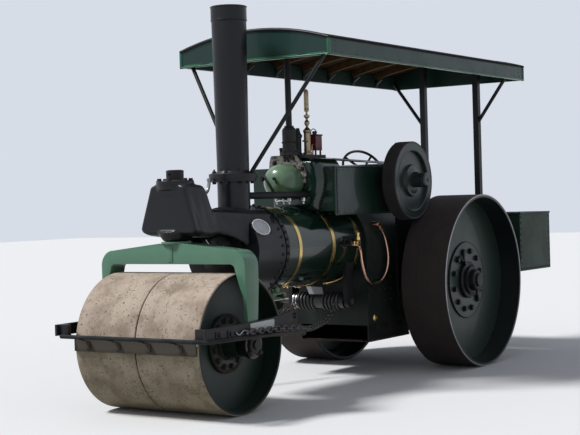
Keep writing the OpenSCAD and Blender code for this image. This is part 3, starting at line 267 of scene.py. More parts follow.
def finished(name, bm, finish, body="root", covers=(), smooth=35.0):
    """Makes a piece of a bmesh: closed, outward, smooth, with a finish, on a body."""
    bmesh.ops.remove_doubles(bm, verts=bm.verts, dist=1e-6)
    bmesh.ops.recalc_face_normals(bm, faces=bm.faces)
    mesh = bpy.data.meshes.new(name)
    bm.to_mesh(mesh)
    bm.free()
    mesh.materials.append(bpy.data.materials[finish + " finish"])
    mesh.shade_smooth()
    mesh.set_sharp_from_angle(angle=math.radians(smooth))
    piece = bpy.data.objects.new(name, mesh)
    bpy.context.scene.collection.objects.link(piece)
    if body:
        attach(piece, body)
    if covers:
        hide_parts(*covers)
    return piece


def softened(node, width, finish, body, sharp):
    """A copy of a frame piece, merged to whole faces, with its sharp edges rounded."""
    bm = bmesh.new()
    bm.from_mesh(frame["nodes"][node].data)
    bmesh.ops.remove_doubles(bm, verts=bm.verts, dist=1e-5)
    bmesh.ops.dissolve_limit(bm, angle_limit=math.radians(2), verts=bm.verts, edges=bm.edges)
    edges = [e for e in bm.edges if len(e.link_faces) == 2 and e.calc_face_angle() > math.radians(sharp)]
    rounded(bm, edges, width, 3, True)
    finished(node + "_soft", bm, finish, body, covers=(node,))


# Shaders

class Tree:
    """A shader node tree to build on. A value is a socket, a number or a colour."""

    def __init__(self, tree):
        self.nodes = tree.nodes
        self.links = tree.links

    def put(self, value, socket):
        """Links a socket to an input, or sets the input's value."""
        if isinstance(value, bpy.types.NodeSocket):
            self.links.new(value, socket)
        elif socket.type == "RGBA":
            socket.default_value = (*value, 1.0)
        else:
            socket.default_value = value

    def fill(self, values, sockets):
        """Puts values into the sockets that they name."""
        for name, value in values.items():
            self.put(value, sockets[name])

    def add(self, kind, output, inputs, **settings):
        """Adds a node, fills its inputs and gives one of its outputs."""
        node = self.nodes.new("ShaderNode" + kind)
        for name, value in settings.items():
            setattr(node, name, value)
        self.fill(inputs, node.inputs)
        return node.outputs[output]

    def noise(self, vector, scale, detail=4.0, roughness=0.6):
        """A noise texture whose pattern follows vector."""
        return self.add("TexNoise", "Fac", {
            "Vector": vector, "Scale": scale, "Detail": detail, "Roughness": roughness})

    def ramp(self, value, low, high):
        """Maps value from low..high to 0..1, smoothly."""
        return self.add("MapRange", "Result", {
            "Value": value, "From Min": low, "From Max": high}, interpolation_type="SMOOTHSTEP")

    def mix(self, factor, a, b):
        """Mixes two colours by a factor."""
        return self.add("Mix", "Result", {"Factor": factor, "A": a, "B": b}, data_type="RGBA")

    def math(self, operation, a, b=0.0):
        """A math node on one or two values."""
        return self.add("Math", "Value", {0: a, 1: b}, operation=operation)

    def plus(self, first, *rest):
        """The sum of some values."""
        for value in rest:
            first = self.math("ADD", first, value)
        return first

    def times(self, first, *rest):
        """The product of some values."""
        for value in rest:
            first = self.math("MULTIPLY", first, value)
        return first

    def stretched(self, vector, amounts):
        """The vector with each part multiplied by its own amount."""
        return self.add("VectorMath", "Vector", {0: vector, 1: amounts}, operation="MULTIPLY")

    def place(self):
        """Object coordinates, which are the machine's own."""
        return self.nodes.new("ShaderNodeTexCoord").outputs["Object"]

    def parts(self, vector):
        """The outputs X, Y and Z of a vector."""
        return self.add("SeparateXYZ", "X", {"Vector": vector}).node.outputs

    def seen(self):
        """1 on rays from the camera, in reflections and through glass, otherwise 0."""
        rays = self.nodes.new("ShaderNodeLightPath").outputs
        both = self.math("MAXIMUM", rays["Is Camera Ray"], rays["Is Glossy Ray"])
        return self.math("MAXIMUM", both, rays["Is Transmission Ray"])


class Group(Tree):
    """A shared node group. A colour default, or an output named Color, makes a colour socket."""

    def __init__(self, name, inputs, outputs):
        group = bpy.data.node_groups.new(name, "ShaderNodeTree")
        super().__init__(group)
        for label, default in inputs.items():
            kind = "Color" if isinstance(default, tuple) else "Float"
            socket = group.interface.new_socket(
                name=label, in_out="INPUT", socket_type="NodeSocket" + kind)
            socket.default_value = default
        for label in outputs:
            kind = "Color" if label == "Color" else "Float"
            group.interface.new_socket(name=label, in_out="OUTPUT", socket_type="NodeSocket" + kind)
        self.source = self.nodes.new("NodeGroupInput").outputs
        self.sink = self.nodes.new("NodeGroupOutput").inputs


class Finish(Tree):
    """A material with its shader's inputs."""

    def __init__(self, name):
        material = bpy.data.materials.new(name + " finish")
        material.use_nodes = True
        super().__init__(material.node_tree)
        self.shader = self.nodes["Principled BSDF"].inputs

    def layer(self, name, values):
        """The outputs of a shared node group with these inputs."""
        node = self.nodes.new("ShaderNodeGroup")
        node.node_tree = bpy.data.node_groups[name]
        self.fill(values, node.inputs)
        return node.outputs

    def close(self, values, height=None, strength=0.1, distance=0.002):
        """Fills the shader's inputs and raises the surface by a height."""
        self.fill(values, self.shader)
        if height:
            bump = self.add("Bump", "Normal", {
                "Strength": strength, "Distance": distance, "Height": height})
            self.put(bump, self.shader["Normal"])


def weathering_group():
    """Paint that is mottled, streaked, dusty low down and a little pitted."""
    tree = Group("weathering", {
        "Paint": (0.1, 0.1, 0.1, 1.0), "Dust": (0.3, 0.25, 0.2, 1.0), "Dust Amount": 0.3, "Mottle": 0.3,
        "Streaks": 0.2, "Gloss": 0.35, "Scale": 1.0,
    }, ("Color", "Roughness", "Height"))
    source, place = tree.source, tree.place()
    vector = tree.add("VectorMath", "Vector", {0: place, "Scale": source["Scale"]}, operation="SCALE")
    cloud = tree.ramp(tree.noise(vector, 3.0), 0.35, 0.7)
    speck = tree.ramp(tree.noise(vector, 60.0, 6.0, 0.7), 0.5, 0.75)
    fine = tree.noise(vector, 220.0, 3.0)
    runs = tree.noise(tree.stretched(vector, (26.0, 26.0, 1.2)), 1.0, 3.0)
    runs = tree.times(tree.ramp(runs, 0.5, 0.8), source["Streaks"])
    darker = tree.add("HueSaturation", "Color", {"Value": 0.62, "Color": source["Paint"]})
    paint = tree.mix(tree.times(cloud, source["Mottle"]), source["Paint"], darker)
    paint = tree.mix(runs, paint, source["Dust"])
    low = tree.ramp(tree.parts(place)["Z"], 1.5, 0.0)
    dusty = tree.times(low, source["Dust Amount"], tree.plus(cloud, speck))
    tree.fill({
        "Color": tree.mix(dusty, paint, source["Dust"]),
        "Roughness": tree.plus(tree.times(cloud, 0.12), source["Gloss"], tree.times(dusty, 0.5)),
        "Height": tree.plus(fine, speck),
    }, tree.sink)


def wheel_group():
    """Masks of a roll or wheel: its tread, and the dirt pressed into it."""
    tree = Group("wheel_wear", {"Axle X": 0.0, "Axle Z": 0.5, "Radius": 0.5},
                 ("Tread", "Blotches", "Specks", "Grass", "Lines"))
    place = tree.place()
    parts = tree.parts(place)
    across = tree.math("SUBTRACT", parts["X"], tree.source["Axle X"])
    height = tree.math("SUBTRACT", parts["Z"], tree.source["Axle Z"])
    radius = tree.math("SQRT", tree.plus(tree.times(across, across), tree.times(height, height)))
    inside = tree.math("SUBTRACT", radius, tree.source["Radius"])
    tufts = tree.ramp(tree.noise(place, 3.2, 2.0), 0.54, 0.66)
    blades = tree.ramp(tree.noise(place, 75.0, 4.0, 0.7), 0.52, 0.6)
    turn = tree.math("ARCTAN2", height, across)
    lane = tree.add("CombineXYZ", "Vector", {"X": tree.times(turn, 0.7), "Y": tree.times(parts["Y"], 34.0)})
    tree.fill({
        "Tread": tree.ramp(inside, -0.012, -0.007),
        "Blotches": tree.ramp(tree.noise(place, 5.0, 5.0, 0.65), 0.4, 0.68),
        "Specks": tree.ramp(tree.noise(place, 55.0, 3.0, 0.6), 0.6, 0.68),
        "Grass": tree.times(tufts, blades),
        "Lines": tree.ramp(tree.noise(lane, 1.0, 3.0), 0.35, 0.75),
    }, tree.sink)


def boards_group():
    """Boards along X with dark joints, and grain that follows them."""
    tree = Group("boards", {
        "Light": (0.2, 0.11, 0.05, 1.0), "Dark": (0.08, 0.04, 0.02, 1.0), "Board Width": 0.1,
    }, ("Color", "Height"))
    place = tree.place()
    share = tree.math("DIVIDE", tree.parts(place)["Y"], tree.source["Board Width"])
    middle = tree.math("ABSOLUTE", tree.math("SUBTRACT", tree.math("FRACT", share), 0.5))
    joint = tree.ramp(middle, 0.46, 0.5)
    shift = tree.add("CombineXYZ", "Vector", {"X": tree.times(tree.math("FLOOR", share), 7.3)})
    moved = tree.add("VectorMath", "Vector", {0: place, 1: shift})
    grain = tree.noise(tree.stretched(moved, (1.6, 30.0, 30.0)), 1.0, 6.0, 0.65)
    colour = tree.mix(tree.ramp(grain, 0.3, 0.72), tree.source["Light"], tree.source["Dark"])
    tree.fill({
        "Color": tree.mix(joint, colour, (0.02, 0.012, 0.008)),
        "Height": tree.math("SUBTRACT", grain, tree.times(joint, 3.0)),
    }, tree.sink)


def painted(name, colour, dust=0.3, mottle=0.3, gloss=0.35, bump=0.1, metallic=0.0, coat=0.0, scale=1.0,
            streaks=0.1, dust_colour=(0.16, 0.13, 0.1), black_part=None):
    """One paint or metal with the shared weathering, black past a height if that is given."""
    tree = Finish(name)
    layer = tree.layer("weathering", {
        "Paint": colour, "Dust": dust_colour, "Dust Amount": dust, "Mottle": mottle, "Gloss": gloss,
        "Scale": scale, "Streaks": streaks})
    shade = layer["Color"]
    if black_part:
        past = tree.ramp(tree.parts(tree.place())["Z"], *black_part)
        shade = tree.mix(past, shade, bpy.context.scene.roller_paint.black)
    tree.close({
        "Base Color": shade, "Roughness": layer["Roughness"], "Metallic": metallic, "Coat Weight": coat,
    }, layer["Height"], bump)
    if not metallic:
        tree.close({"Specular IOR Level": 0.3})


def rolled(name, axle_x, axle_z, radius, tread, blotch, speck, disc, grass, lines, gloss):
    """A roll's or wheel's iron: a dirty tread with painted sides."""
    tree = Finish(name)
    wear = tree.layer("wheel_wear", {"Axle X": axle_x, "Axle Z": axle_z, "Radius": radius})
    tufts = tree.times(wear["Grass"], grass)
    colour = tree.mix(wear["Blotches"], tread, blotch)
    colour = tree.mix(tree.times(wear["Lines"], lines), colour, blotch)
    colour = tree.mix(wear["Specks"], colour, speck)
    colour = tree.mix(tufts, colour, (0.13, 0.14, 0.04))
    rough = tree.plus(tree.times(wear["Tread"], 0.8 - gloss), gloss)
    dents = tree.plus(wear["Blotches"], wear["Specks"], tree.times(tufts, 2.0))
    tree.close({"Base Color": tree.mix(wear["Tread"], disc, colour), "Roughness": rough},
               tree.times(dents, wear["Tread"]), 0.5, 0.003)


def flaking(name, paint, bare, gloss):
    """Old paint that flakes off a casting in patches."""
    tree = Finish(name)
    place = tree.place()
    flake = tree.ramp(tree.noise(place, 22.0, 8.0, 0.72), 0.5, 0.54)
    fine = tree.noise(place, 130.0, 5.0)
    colour = tree.mix(fine, paint, tuple(c * 0.6 for c in paint))
    tree.close({"Base Color": tree.mix(flake, colour, bare), "Roughness": gloss},
               tree.math("SUBTRACT", fine, flake), 0.5)


def timber(name, light, dark, width, gloss):
    """Varnished boards."""
    tree = Finish(name)
    boards = tree.layer("boards", {"Light": light, "Dark": dark, "Board Width": width})
    tree.close({"Base Color": boards["Color"], "Roughness": gloss, "Specular IOR Level": 0.1},
               boards["Height"], 0.3)


def roofing(name, black, light, dark, width):
    """The roof: weathered black above, varnished boards below, parted along its arch."""
    tree = Finish(name)
    place = tree.place()
    parts = tree.parts(place)
    fall = (ROOF_HIGH.z - ROOF_LOW.z - ROOF_T) / (ROOF_HIGH.y * ROOF_HIGH.y)
    level = tree.plus(parts["Z"], tree.times(parts["Y"], parts["Y"], fall))
    under = tree.ramp(level, ROOF_HIGH.z - ROOF_T * 0.5, ROOF_HIGH.z - ROOF_T * 0.8)
    boards = tree.layer("boards", {"Light": light, "Dark": dark, "Board Width": width})
    top = tree.mix(tree.noise(place, 14.0, 6.0, 0.7), black, tuple(c * 2.4 for c in black))
    tree.close({"Base Color": tree.mix(under, top, boards["Color"]), "Roughness": 0.8,
                "Specular IOR Level": 0.1}, boards["Height"], 0.3)


FINISH_OF = {
    "wheel_disc_left": "disc_green", "wheel_disc_right": "disc_green", "flywheel": "flywheel_iron",
    "crankshaft": "flywheel_iron", "bunker": "bunker_green", "footplate": "bunker_green",
    "motion_covers": "covers_green", "fork_chains": "chain_iron", "steering_chains": "chain_iron",
    # The scrapers' finish paints a shadow on their plate below the bar.
    "chain_barrel": "chain_iron", "scrapers": "scraper_iron_and_painted_shadow", "whistle": "old_brass",
    "firebox": "firebox_green", "safety_valves": "housing_grey",
}


class PaintSettings(bpy.types.PropertyGroup):
    """Colours of the machine's finishes."""
    fork_green: bpy.props.FloatVectorProperty(
        name="Fork green", description="Mid green of the fork", subtype="COLOR",
        default=(0.115, 0.255, 0.17))
    bottle_green: bpy.props.FloatVectorProperty(
        name="Bottle green", description="Dark green of the body", subtype="COLOR",
        default=(0.006, 0.026, 0.017))
    bunker_green: bpy.props.FloatVectorProperty(
        name="Bunker green", description="Green of the tender", subtype="COLOR",
        default=(0.012, 0.034, 0.019))
    cover_green: bpy.props.FloatVectorProperty(
        name="Cover green", description="Sage green of the cylinder cover", subtype="COLOR",
        default=(0.16, 0.27, 0.165))
    disc_green: bpy.props.FloatVectorProperty(
        name="Disc green", description="Sage green of the rear wheels' discs", subtype="COLOR",
        default=(0.022, 0.042, 0.034))
    fascia_green: bpy.props.FloatVectorProperty(
        name="Fascia green", description="Teal green of the canopy's fascia", subtype="COLOR",
        default=(0.012, 0.044, 0.036))
    black: bpy.props.FloatVectorProperty(
        name="Black", description="Black of the smokebox and ironwork", subtype="COLOR",
        default=(0.0045, 0.005, 0.007))
    roll_dust: bpy.props.FloatVectorProperty(
        name="Roll", description="Dusty tan of the front roll's tread", subtype="COLOR",
        default=(0.48, 0.385, 0.31))
    tread_brown: bpy.props.FloatVectorProperty(
        name="Tread", description="Purple-brown of the rear wheels' tread", subtype="COLOR",
        default=(0.02, 0.014, 0.014))


class TrimSettings(bpy.types.PropertyGroup):
    """Sizes of the small fasteners."""
    rivet: bpy.props.FloatProperty(
        name="Rivet", description="Radius of a rivet's head", default=0.009, unit="LENGTH")
    bolt: bpy.props.FloatProperty(
        name="Bolt", description="Width of a bolt's head", default=0.034, unit="LENGTH")
    moulding: bpy.props.FloatProperty(
        name="Moulding", description="Radius of the half-round mouldings", default=0.007, unit="LENGTH")


class StageSettings(bpy.types.PropertyGroup):
    """Camera, floor and light."""
    camera_place: bpy.props.FloatVectorProperty(
        name="Camera place", description="Where the camera stands", subtype="TRANSLATION", unit="LENGTH",
        default=(10.4044, 6.5333, 1.5986))
    camera_yaw: bpy.props.FloatProperty(
        name="Camera yaw", description="Compass angle of the view, from +X", subtype="ANGLE",
        default=math.radians(213.8013))
    camera_pitch: bpy.props.FloatProperty(
        name="Camera pitch", description="Tilt of the view, up is positive", subtype="ANGLE",
        default=math.radians(-0.7419))
    camera_roll: bpy.props.FloatProperty(
        name="Camera roll", description="Turn of the view about its own axis", subtype="ANGLE",
        default=math.radians(-1.6634))
    lens: bpy.props.FloatProperty(
        name="Lens", description="Focal length on a 36 mm wide sensor, in millimetres", default=84.335)
    floor_size: bpy.props.FloatProperty(
        name="Floor size", description="Side of the floor", unit="LENGTH", default=80.0)
    sky: bpy.props.FloatProperty(
        name="Sky light", description="How strongly the sky lights the piece", default=0.32)
    backdrop: bpy.props.FloatProperty(
        name="Backdrop", description="How bright the sky looks in the picture and in reflections",
        default=0.8)
    sun: bpy.props.FloatProperty(name="Sun", description="Strength of the sun", default=3.1)


class ROLLER_OT_finishes(bpy.types.Operator):
    """Makes the finishes and gives them to the frame's own pieces"""
    bl_idname = "roller.finishes"
    bl_label = "Finishes"

    def execute(self, context):
        paint = context.scene.roller_paint
        black = tuple(paint.black)
        weathering_group()
        wheel_group()
        boards_group()
        rolled("roll_iron", X_ROLL, ROLL_R, ROLL_R, paint.roll_dust, (0.29, 0.222, 0.168),
               (0.085, 0.07, 0.036), (0.005, 0.018, 0.011), 0.9, 0.2, 0.45)
        rolled("tread_iron", X_REAR, WHEEL_R, WHEEL_R, paint.tread_brown, (0.035, 0.025, 0.021),
               (0.012, 0.009, 0.008), (0.005, 0.009, 0.009), 0.0, 0.6, 0.4)
        rolled("flywheel_iron", X_CRANK, Z_CRANK, FLY_R, (0.012, 0.009, 0.01), (0.024, 0.017, 0.017),
               (0.008, 0.007, 0.007), (0.018, 0.03, 0.028), 0.0, 0.6, 0.34)
        painted("fork_green", paint.fork_green, 0.05, 0.3, 0.26, 0.06, coat=0.3,
                black_part=(0.665, 0.655))
        painted("black_iron", black, 0.1, 0.4, 0.4, 0.2, streaks=0.03)
        painted("smokebox_black", black, 0.01, 0.3, 0.34, 0.2, coat=0.1, scale=1.6, streaks=0.02)
        painted("firebox_green", (0.004, 0.01, 0.008), 0.04, 0.4, 0.45, 0.1)
        painted("housing_grey", (0.04, 0.042, 0.046), 0.0, 0.7, 0.55, 0.3, scale=3.0)
        painted("bottle_green", paint.bottle_green, 0.04, 0.3, 0.14, 0.03, coat=0.6, streaks=0.02)
        painted("bunker_green", paint.bunker_green, 0.02, 0.4, 0.5, 0.06)
        painted("covers_green", paint.bottle_green, 0.0, 0.5, 0.26, 0.05, coat=0.3, streaks=0.3,
                dust_colour=(0.022, 0.045, 0.042))
        painted("disc_green", paint.disc_green, 0.02, 0.5, 0.34, 0.05, coat=0.15, scale=0.8,
                dust_colour=(0.035, 0.045, 0.045))
        painted("cover_green", paint.cover_green, 0.0, 0.3, 0.24, 0.05, coat=0.4)
        painted("fascia_green", paint.fascia_green, 0.0, 0.4, 0.34, 0.05, coat=0.15, streaks=0.15,
                dust_colour=(0.03, 0.06, 0.06))
        painted("moulding_green", (0.022, 0.15, 0.075), 0.0, 0.3, 0.3, 0.05, coat=0.2)
        painted("band_brass", (0.72, 0.52, 0.2), 0.02, 0.3, 0.16, 0.03, metallic=1.0, scale=3.0)
        painted("old_brass", (0.36, 0.29, 0.19), 0.0, 0.9, 0.34, 0.15, metallic=1.0, scale=6.0)
        painted("steel", (0.3, 0.3, 0.31), 0.05, 0.5, 0.32, 0.06, metallic=1.0, scale=3.0)
        painted("bright", (0.6, 0.6, 0.58), 0.05, 0.5, 0.2, 0.04, metallic=1.0, scale=5.0)
        painted("copper", (0.74, 0.42, 0.3), 0.02, 0.5, 0.16, 0.03, metallic=1.0, scale=3.0)
        painted("chain_iron", (0.075, 0.072, 0.075), 0.15, 0.6, 0.36, 0.2, metallic=0.7, scale=4.0)
        painted("rusty", (0.032, 0.024, 0.021), 0.1, 0.7, 0.6, 0.5, scale=6.0, streaks=0.25,
                dust_colour=(0.13, 0.055, 0.028))
        # Below the bar, the scrapers' plate is a dull brown matched to the roll's tread in shade. It is a
        # painted shadow, standing where the bar's shadow falls on the roll. The bar above it is black.
        painted("scraper_iron_and_painted_shadow", (0.06, 0.05, 0.04), 0.3, 0.7, 0.6, 0.4, scale=2.0,
                black_part=(0.594, 0.602))
        painted("oiler_red", (0.15, 0.012, 0.012), 0.0, 0.5, 0.3, 0.15, coat=0.2, scale=4.0)
        painted("oiler_black", (0.01, 0.01, 0.012), 0.0, 0.4, 0.3, 0.1, scale=4.0)
        painted("blank_white", (0.72, 0.73, 0.76), 0.1, 0.25, 0.3, 0.03, coat=0.2, scale=3.0)
        flaking("valve_grey", (0.5, 0.46, 0.42), (0.04, 0.028, 0.022), 0.6)
        timber("canopy_wood", (0.16, 0.085, 0.038), (0.09, 0.045, 0.021), 1.0, 0.7)
        roofing("roof_black", black, (0.07, 0.036, 0.019), (0.032, 0.017, 0.01), 0.094)
        slots = {s["node"]: s["material_slot"] for s in frame["record"]["subparts"]}
        for name, node in frame["nodes"].items():
            node.data.materials.clear()
            node.data.materials.append(bpy.data.materials[FINISH_OF.get(name, slots[name]) + " finish"])
        return {"FINISHED"}


class ROLLER_OT_front_roll(bpy.types.Operator):
    """Adds the bolted flanges and the rim edges at the ends of the front roll"""
    bl_idname = "roller.front_roll"
    bl_label = "Front roll"
    flange_y: bpy.props.FloatProperty(
        name="Flange depth", description="From the roll's end in to the flange's face", default=0.13,
        unit="LENGTH")

    def execute(self, context):
        trim = context.scene.roller_trim
        end = Vector((X_ROLL, ROLL_HIGH.y - 0.008, ROLL_R))
        flange = end - ALONG_Y * self.flange_y
        bm = bmesh.new()
        bolt_ring(bm, flange, ALONG_Y, 0.178, 12, trim.bolt * 1.1, 0.2)
        turned(bm, [(0.196, 0.0), (0.206, 0.006), (0.222, 0.006), (0.2248, 0.0)], flange, ALONG_Y, 64)
        turned(bm, [(0.115, 0.012), (0.124, 0.012), (0.124, 0.026), (0.115, 0.026)], flange, ALONG_Y)
        both_sides(bm)
        finished("roll_flange_bolts", bm, "rusty", "front_roll")
        bm = bmesh.new()
        turned(bm, [(ROLL_R - 0.026, -0.004), (ROLL_R - 0.024, 0.0004), (ROLL_R - 0.012, 0.0006),
                    (ROLL_R - 0.01, -0.004)], end, ALONG_Y, 128)
        both_sides(bm)
        finished("roll_rim_edges", bm, "black_iron", "front_roll")
        return {"FINISHED"}


class ROLLER_OT_fork(bpy.types.Operator):
    """Rounds the cast fork and adds its rib and the foot's bolts"""
    bl_idname = "roller.fork"
    bl_label = "Fork"

    def execute(self, context):
        trim = context.scene.roller_trim
        softened("fork", 0.012, "fork_green", "fork", 30.0)
        bm = bmesh.new()
        block(bm, (X_ROLL + 0.08, -0.024, 1.15), (X_ROLL + 0.091, 0.024, 1.276), 0.004)
        finished("fork_rib", bm, "fork_green", "fork")
        bm = bmesh.new()
        cap = Vector((X_ROLL, FORK_HIGH.y + 0.006, ROLL_R))
        bolt_ring(bm, cap, ALONG_Y, 0.086, 4, trim.bolt, math.pi / 4)
        both_sides(bm)
        finished("fork_foot_bolts", bm, "rusty", "fork")
        return {"FINISHED"}


class ROLLER_OT_arms(bpy.types.Operator):
    """Replaces the side arms by slimmer ones with bolts, straps, a chain hook and a blank plate"""
    bl_idname = "roller.arms"
    bl_label = "Side arms"

    def execute(self, context):
        trim = context.scene.roller_trim
        out = ARM_OUT
        bm = bmesh.new()
        view = [(3.953, 0.7), (3.4, 0.706), (3.12, 0.716), (2.93, 0.736), (2.845, 0.742), (2.806, 0.73),
                (2.792, 0.704), (2.808, 0.68), (2.85, 0.668), (2.93, 0.642), (3.2, 0.616), (3.953, 0.616)]
        side_plate(bm, view, out, 0.022, 0.003)
        block(bm, (X_ROLL + 0.554, out - 0.112, 0.602), (X_ROLL + 0.59, out - 0.021, 0.7))
        block(bm, (X_ROLL + 0.554, out - 0.11, 0.602), (X_ROLL + 0.622, out - 0.082, 0.63))
        turned(bm, [(0.012, -0.008), (0.024, -0.008), (0.024, 0.008), (0.012, 0.008)],
               at(2.822, out - 0.008, 0.706), ALONG_Y, 24)
        both_sides(bm)
        finished("side_arms", bm, "black_iron", "fork", ("fork_arms",))
        bm = bmesh.new()
        for x, z in ((3.796, 0.65), (3.659, 0.646)):
            bolt(bm, at(x, out, z), ALONG_Y, trim.bolt * 0.9)
        both_sides(bm)
        finished("arm_bolts", bm, "rusty", "fork")
        bm = bmesh.new()
        block(bm, at(3.76, out, 0.625), at(3.835, out + 0.006, 0.676))
        block(bm, at(3.625, out, 0.624), at(3.695, out + 0.006, 0.672))
        for z in (0.618, 0.698):
            bar(bm, at(3.948, out, z), at(3.45, out, z), 0.003, 8)
        bar(bm, at(3.948, out, 0.618), at(3.948, out, 0.698), 0.003, 8)
        both_sides(bm)
        finished("arm_straps", bm, "black_iron", "fork")
        bm = bmesh.new()
        outline = [(3.412, 0.69), (3.402, 0.698), (3.11, 0.706), (3.1, 0.698), (3.102, 0.652),
                   (3.112, 0.644), (3.385, 0.63), (3.396, 0.636)]
        side_plate(bm, outline, out - 0.001, -0.005)
        finished("blank_plate", bm, "blank_white", "fork")
        bm = bmesh.new()
        hook = [(3.47, 0.642), (3.5, 0.656), (3.53, 0.644), (3.56, 0.63), (3.59, 0.64), (3.602, 0.654)]
        tube(bm, spread([at(x, out + 0.01, z) for x, z in hook]), 0.006, 8)
        turned(bm, [(0.01, -0.005), (0.018, -0.005), (0.018, 0.005), (0.01, 0.005)],
               at(3.462, out + 0.01, 0.642), ALONG_Y, 16)
        finished("arm_hook", bm, "steel", "fork")
        return {"FINISHED"}


class ROLLER_OT_headstock(bpy.types.Operator):
    """Smooths the cast headstock and dresses the kingpin"""
    bl_idname = "roller.headstock"
    bl_label = "Headstock"

    def execute(self, context):
        trim = context.scene.roller_trim
        bm = bmesh.new()
        bm.from_mesh(frame["nodes"]["headstock"].data)
        piece = finished("headstock_casting", bm, "smokebox_black", covers=("headstock",), smooth=80.0)
        even = piece.modifiers.new("even", "REMESH")
        even.mode = "VOXEL"
        even.voxel_size = 0.009
        even.use_smooth_shade = True
        round_off = piece.modifiers.new("round_off", "SMOOTH")
        round_off.factor = 0.5
        round_off.iterations = 14
        top = Vector((X_ROLL, 0, HEAD_HIGH.z))
        bm = bmesh.new()
        turned(bm, [(0, 0.0), (0.142, 0.0), (0.146, -0.004), (0.146, -0.026)], top, UP, 64)
        finished("headstock_plate", bm, "smokebox_black")
        bm = bmesh.new()
        cap = Vector((X_ROLL, 0, KINGPIN_HIGH.z))
        turned(bm, [(0, 0.004), (0.052, 0.004), (0.06, 0.0), (0.0684, -0.006), (0.0684, -0.016)], cap, UP)
        rod(bm, cap + Vector((-0.09, 0, -0.03)), ALONG_X, 0.18, 0.007, sides=12)
        finished("kingpin_cap", bm, "black_iron", "fork")
        bm = bmesh.new()
        bolt_ring(bm, top, UP, 0.122, 6, trim.bolt, 0.3)
        turned(bm, [(0.074, 0.0), (0.074, 0.01), (0.086, 0.008), (0.092, 0.0)], top, UP)
        finished("headstock_bolts", bm, "rusty")
        return {"FINISHED"}


class ROLLER_OT_smokebox(bpy.types.Operator):
    """Adds the smokebox's rivets, a blank oval plate and the door's handles"""
    bl_idname = "roller.smokebox"
    bl_label = "Smokebox"

    def execute(self, context):
        trim = context.scene.roller_trim
        bm = bmesh.new()
        for x, lift, count in ((SMOKEBOX_LOW.x + 0.022, 0.0055, 40), (SMOKEBOX_LOW.x + 0.09, 0.0, 32)):
            for i in range(count):
                angle = 2 * math.pi * (i + 0.5) / count
                reach = SMOKEBOX_R + lift
                place = (x, reach * math.sin(angle), Z_BOILER + reach * math.cos(angle))
                head(bm, place, trim.rivet * 1.6, 10)
        finished("smokebox_rivets", bm, "smokebox_black")
        centre = at(2.672, 0.302, 1.376)
        outward = Vector((0.3, 0.88, 0.38)).normalized()
        lean = Matrix.Rotation(math.radians(-24), 4, "Z") @ Matrix.Diagonal((0.088, 0.066, 1.0, 1.0))
        for name, finish, profile in (
                ("oval_plate_rim", "bright", [(0.85, 0.034), (0.88, 0.039), (0.97, 0.04), (1.0, 0.035),
                                              (1.0, -0.05), (0.85, -0.05)]),
                ("oval_plate", "steel", [(0, 0.0365), (0.7, 0.0365), (0.86, 0.034), (0.86, 0.0)])):
            bm = bmesh.new()
            turned(bm, profile, (0, 0, 0), UP, 56)
            bmesh.ops.transform(bm, verts=bm.verts, matrix=frame_at(centre, outward) @ lean)
            finished(name, bm, finish)
        bm = bmesh.new()
        hub = Vector((DOOR_HIGH.x, 0, Z_BOILER))
        rod(bm, hub - ALONG_X * 0.004, ALONG_X, 0.026, 0.018, sides=24)
        for angle, length in ((0.5, 0.11), (2.2, 0.13)):
            way = Vector((0.12, math.cos(angle), math.sin(angle)))
            bar(bm, hub + ALONG_X * 0.01, hub + ALONG_X * 0.01 + way * length, 0.009)
        finished("door_handles", bm, "bright", "smokebox_door")
        return {"FINISHED"}


class ROLLER_OT_chimney(bpy.types.Operator):
    """Adds the chimney's bolts, bands and seam and the polished pipe beside its foot"""
    bl_idname = "roller.chimney"
    bl_label = "Chimney"

    def execute(self, context):
        trim = context.scene.roller_trim
        flange = CHIMNEY_LOW.z + 0.042
        bm = bmesh.new()
        for i in range(8):
            angle = 2 * math.pi * (i + 0.35) / 8
            place = Vector((X_CHIMNEY + 0.168 * math.cos(angle), 0.168 * math.sin(angle), flange))
            bolt(bm, place, UP, trim.bolt * 0.9)
            rod(bm, place, UP, 0.034, 0.007, 0.006, 12)
            bolt(bm, place - UP * 0.066, -UP, trim.bolt * 0.9)
        finished("chimney_bolts", bm, "black_iron")
        bm = bmesh.new()
        top = CHIMNEY_HIGH.z
        bands = (([(0.1468, -0.012), (0.15, -0.01), (0.15, -0.002), (0.1468, 0.0)], top),
                 ([(0.146, 0.0), (0.1486, 0.002), (0.1486, 0.01), (0.146, 0.012)], top - 0.12))
        for profile, z in bands:
            turned(bm, profile, (X_CHIMNEY, 0, z), UP, 96)
        finished("chimney_bands", bm, "smokebox_black")
        bm = bmesh.new()
        for i in range(22):
            z = flange + 0.04 + i * 0.055
            share = (z - flange) / (top - 0.12 - flange)
            head(bm, (X_CHIMNEY - 0.131 - 0.014 * share, 0, z), 0.006)
        finished("chimney_seam", bm, "smokebox_black")
        bm = bmesh.new()
        bends = [(2.776, 1.79), (2.78, 1.745), (2.8, 1.694), (2.846, 1.664), (2.896, 1.668), (2.93, 1.7)]
        route = spread([at(x, -0.1, z) for x, z in bends])
        tube(bm, route, 0.014, 16)
        rod(bm, route[0] - UP * 0.022, UP, 0.02, 0.019, sides=16)
        rod(bm, route[-1] - UP * 0.004, (0.7, 0, 0.7), 0.016, 0.018, sides=16)
        finished("chimney_pipe", bm, "steel")
        return {"FINISHED"}


